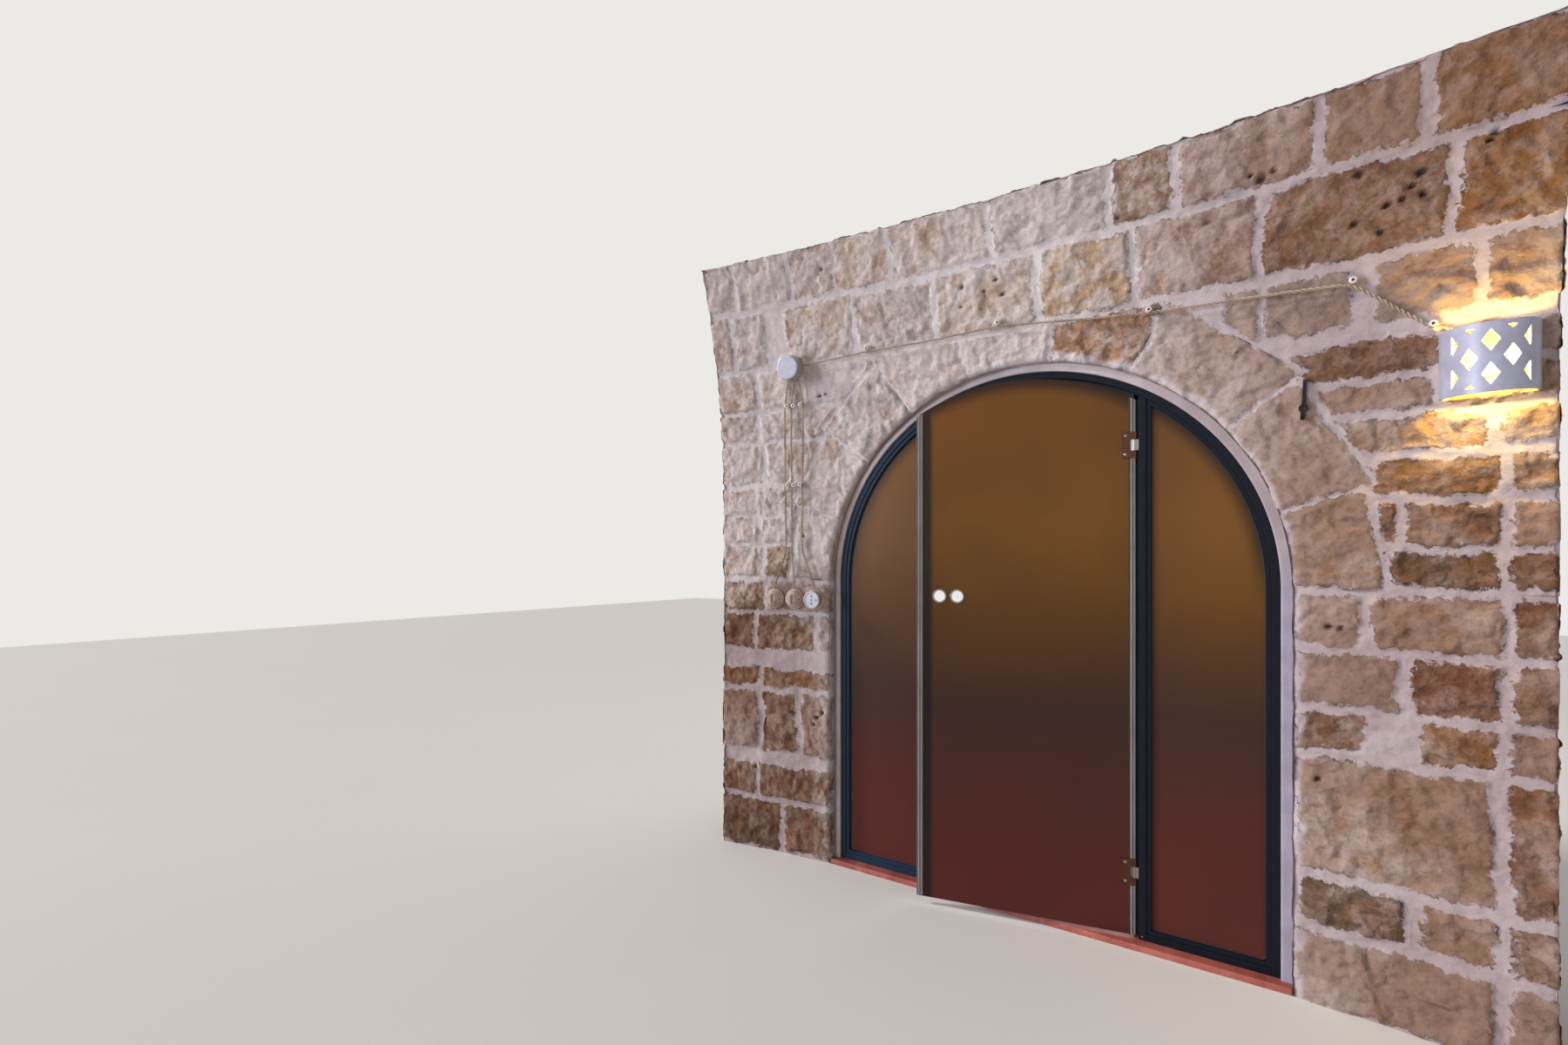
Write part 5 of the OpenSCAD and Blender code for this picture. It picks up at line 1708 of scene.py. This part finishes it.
def route_points():
    """The flex's runs in mm, along the CAD cables' centre lines."""
    hold = KNOB_D / 2 - 2.5 + CABLE_D / 2 + SEAT

    def held(k, deg):
        a = math.radians(deg)
        return (KNOBS[k][0] + hold * math.cos(a), KNOBS[k][1] + hold * math.sin(a), CABLE_OFF)

    def meeting(x, z, r, deg):
        a = math.radians(deg)
        return [(x + (r + away) * math.cos(a), z + (r + away) * math.sin(a), BOX[3] / 8) for away in (12, SEAT)]

    def leaving(x, z, r, deg):
        return meeting(x, z, r, deg)[::-1]

    off = CABLE_OFF
    box_r = BOX[2] / 2
    runs = []
    for deg, spots, x in (
        (247, (held(0, 180), held(3, 180), (-972, 1300, off)), SOCKET_X - 2 * SWITCH_PITCH),
        (270, (held(1, 180), held(4, 180), (-944, 1300, off)), SOCKET_X - SWITCH_PITCH),
        (293, (held(2, 0), held(5, 0), (-898, 1310, off)), SOCKET_X),
    ):
        runs.append(leaving(BOX[0], BOX[1], box_r, deg) + list(spots) + meeting(x, SWITCH_Z, SWITCH_D / 2, 90))
    runs.append(
        leaving(BOX[0], BOX[1], box_r, 4)
        + [held(6, 270), (-320, 2088, off), held(7, 270), (200, 2069, off), held(8, 270), (660, 2036, off),
           held(9, 250), held(10, 180), held(10, 225), held(10, 270), (1096, 1871, off), (1116, 1846, off),
           (1136, 1790, off)]
        + meeting(SHADE[0], LAMP_Z, 14, 180)
    )
    found = []
    for run in runs:
        line = [off_face(*q) for q in run]
        fine = [line[0]]
        for one, two in zip(line, line[1:]):
            n = max(1, round((two - one).length / 20))
            fine.extend(one.lerp(two, (k + 1) / n) for k in range(n))
        for _ in range(2):
            fine = [fine[0], *[(a + 2 * b + c) / 4 for a, b, c in zip(fine, fine[1:], fine[2:])], fine[-1]]
        found.append([tuple(q) for q in fine])
    return found


class TRULLO_OT_flex(bpy.types.Operator):
    """Run the twisted cotton flex on its porcelain insulators"""

    bl_idname = "trullo.flex"
    bl_label = "Flex and insulators"

    def execute(self, context):
        look = context.scene.trullo_fittings
        cotton = cloth_cable()
        paths = scratch("twisted_flex", path_mesh("flex_paths", route_points()))
        mesh = run_tree(paths, flex_tree(), {
            "Strand": look.strand, "Pitch": look.pitch, "Slack": look.slack, "Seed": 3.0, "Material": cotton,
        })
        piece("twisted_flex", mesh, cotton, "root", ("wall_cables",))
        china = glossy_fitting("insulator_porcelain", "#ddd5cf", "#c3b6ab")
        profile = (
            (0, 0), (8.6, 0), (9.5, 0.9), (9.5, 6.8), (8.8, 8.2), (7.3, 9.8), (6.9, 11.6), (7.0, 14.6),
            (7.8, 16.0), (9.0, 17.2), (9.2, 19.4), (8.2, 21.3), (6.0, 22.0), (3.6, 21.8), (3.2, 20.6),
            (0, KNOB_WELL),
        )
        seats = [(face_frame(x, z, KNOB_D / 2), 0.7 * k) for k, (x, z) in enumerate(KNOBS)]
        knobs = repeated("wall_insulators", seats, lathe("knob", profile, Matrix(), 28), china)
        piece("wall_insulators", knobs, china, "root", ("insulators",))
        tops = [(m @ Matrix.Translation((0, 0, KNOB_WELL * MM)), s) for m, s in seats]
        mesh = repeated("insulator_screws", tops, screw_head(4.3, 1.6, 0.8), forged_iron(), 2.0)
        piece("insulator_screws", mesh)
        return {"FINISHED"}


class TRULLO_OT_hook(bpy.types.Operator):
    """Hang the forged iron hook"""

    bl_idname = "trullo.hook"
    bl_label = "Iron hook"

    def execute(self, context):
        soft_node("coat_hook", forged_iron(), 1.4, segments=3)
        return {"FINISHED"}


def hang(name, data, spot, turn=(0, 0, 0)):
    """Puts a lamp or a camera at a spot, in metres, turned as given."""
    obj = scratch(name, data)
    obj.location = spot
    obj.rotation_euler = turn
    return obj


def lamp(name, kind, power, tint, spot, toward=None, **settings):
    """Hangs a lamp of a kind of light, power and sRGB hex tint that shines toward a direction."""
    data = bpy.data.lights.new(name, kind)
    data.energy = power
    data.color = linear(tint)[:3]
    for key, value in settings.items():
        setattr(data, key, value)
    hang(name, data, spot, toward.to_track_quat("-Z", "Y").to_euler() if toward else (0, 0, 0))


class TRULLO_OT_sconce(bpy.types.Operator):
    """Hang the pierced clay shade and fit its lamp"""

    bl_idname = "trullo.sconce"
    bl_label = "Sconce"

    def execute(self, context):
        soft_node("sconce_shade", glazed_clay(), 1.3)
        seat = face_frame(SHADE[0], LAMP_Z, 22)
        china = glossy_fitting("lampholder_porcelain", "#e6dfd2", "#d8cdbb")
        rose = lathe("rose", ((0, 0), (13, 0), (14, 1), (14, 24), (12.5, 27), (9, 30), (0, 30)), seat, 36)
        up = seat @ Matrix.Translation((0, 0, 0.030)) @ Matrix.Rotation(-math.pi / 2, 4, "X")
        profile = ((0, -2), (8, -2), (13, 1), (13, 20), (12, 21.5), (12, 24), (11, 26), (0, 26))
        base = joined("lampholder", [rose, lathe("holder", profile, up, 36)])
        holder = piece("lampholder", base, china, "root", ("sconce_lamp",))
        # A bulb of 44 mm that stands 67 mm over its holder's foot
        turns = np.linspace(0.5, math.pi - 0.05, 18)
        ball = [(0, 24)] + [(22 * math.sin(a), 45 - 22 * math.cos(a)) for a in turns] + [(0, 67)]
        bulb = piece("opal_bulb", lathe("opal_bulb", ball, up, 40), lit_opal(), "root", ())
        bulb.visible_shadow = holder.visible_shadow = False
        spot = seat @ Vector((0, 26 * MM, 50 * MM))
        power = context.scene.trullo_fittings.light
        lamp("bulb_light", "POINT", power, "#ffe07c", spot, shadow_soft_size=0.018)
        return {"FINISHED"}


class TRULLO_OT_studio(bpy.types.Operator):
    """Set the pale floor, the lamps and the camera"""

    bl_idname = "trullo.studio"
    bl_label = "Studio"

    def execute(self, context):
        look = context.scene.trullo_studio
        scene = context.scene
        mesh = bpy.data.meshes.new("studio_floor")
        corners = [(x * FLOOR_HALF, y * FLOOR_HALF, -0.0005) for x, y in ((-1, -1), (1, -1), (1, 1), (-1, 1))]
        mesh.from_pydata(corners, [], [(0, 1, 2, 3)])
        floor = scratch("studio_floor", mesh)
        mat, put, at, shader = new_material("studio_floor_matt")
        cloud = put(NOISE, [at, per(900), 2.0, 0.55])
        soft = put(MIX, [cloud, srgb(look.floor_colour), linear("#e6e3df")], **BLEND)
        feed(shader, {"Base Color": soft, "Roughness": 0.85})
        mesh.materials.append(mat)
        world = bpy.data.worlds.new("studio_sky")
        scene.world = world
        world.use_nodes = True
        world.node_tree.nodes.clear()
        put = partial(add, world.node_tree)
        # What the camera, gloss and glass see of the sky is plain and pale; the light it gives is fainter
        even = put("ShaderNodeBackground", [linear("#f4f2f0"), look.sky])
        seen = put("ShaderNodeBackground", [linear("#eceae7"), 1.0])
        rays = put("ShaderNodeLightPath").outputs
        plain = put(MATHS, [rays["Is Camera Ray"], rays["Is Glossy Ray"]], operation="MAXIMUM")
        plain = put(MATHS, [plain, rays["Is Transmission Ray"]], operation="MAXIMUM")
        put("ShaderNodeOutputWorld", [put("ShaderNodeMixShader", [plain, even, seen])])
        for name, spot, aim, size, power, tint in (
            ("fill", (4.4, -2.6, 2.2), (0.3, 0.0, 1.2), 2.4, look.fill * 0.4, "#f2f4ff"),
            ("back", (0.5, 4.2, 3.6), (0.0, 0.6, 1.2), 3.0, look.fill * 1.3, "#ffffff"),
        ):
            toward = Vector(aim) - Vector(spot)
            lamp("studio_" + name, "AREA", power, tint, spot, toward, shape="DISK", size=size)
        for name, spot, toward, power, wide, tint in (
            ("key", (-4.0, -2.0, 3.0), (0.8, 0.36, -0.48), look.key, 9, "#fffaf5"),
            ("window", (-4.0, -4.0, 2.0), (0.68, 0.69, -0.12), look.key * 0.97, 24, "#e6eaff"),
        ):
            lamp("studio_" + name, "SUN", power, tint, spot, Vector(toward), angle=math.radians(wide))
        data = bpy.data.cameras.new("photo_view")
        data.lens = look.lens
        data.sensor_width = 36
        data.shift_y = PHOTO_SHIFT
        scene.camera = hang("photo_view", data, PHOTO_SPOT, (math.radians(90), 0, math.radians(PHOTO_TURN)))
        scene.view_settings.view_transform = "Standard"
        return {"FINISHED"}


PIECES = (
    TRULLO_OT_studio, TRULLO_OT_masonry, TRULLO_OT_lining, TRULLO_OT_threshold, TRULLO_OT_screen,
    TRULLO_OT_leaf, TRULLO_OT_switchgear, TRULLO_OT_flex, TRULLO_OT_hook, TRULLO_OT_sconce,
)
LOOKS = (
    ("trullo_masonry", TrulloMasonry), ("trullo_joinery", TrulloJoinery), ("trullo_fittings", TrulloFittings),
    ("trullo_studio", TrulloStudio),
)


class TRULLO_PT_doorway(bpy.types.Panel):
    """The doorway's pieces, sizes and colours"""

    bl_idname = "TRULLO_PT_doorway"
    bl_label = "Trullo doorway"
    bl_space_type = "VIEW_3D"
    bl_region_type = "UI"
    bl_category = "Trullo"

    def draw(self, context):
        for name, group in LOOKS:
            box = self.layout.box()
            box.label(text=name.split("_")[1].capitalize())
            for key in group.__annotations__:
                box.prop(getattr(context.scene, name), key)
        for kind in PIECES:
            self.layout.operator(kind.bl_idname)


def register():
    """Registers the looks, the operators and the panel."""
    for name, group in LOOKS:
        bpy.utils.register_class(group)
        setattr(bpy.types.Scene, name, bpy.props.PointerProperty(type=group))
    for kind in (*PIECES, TRULLO_PT_doorway):
        bpy.utils.register_class(kind)


def unregister():
    """Takes back what register did."""
    for kind in (TRULLO_PT_doorway, *reversed(PIECES)):
        bpy.utils.unregister_class(kind)
    for name, group in reversed(LOOKS):
        delattr(bpy.types.Scene, name)
        bpy.utils.unregister_class(group)


def main():
    """Makes every piece in order."""
    register()
    for kind in PIECES:
        group, name = kind.bl_idname.split(".")
        getattr(getattr(bpy.ops, group), name)()


if __name__ == "__main__":
    main()
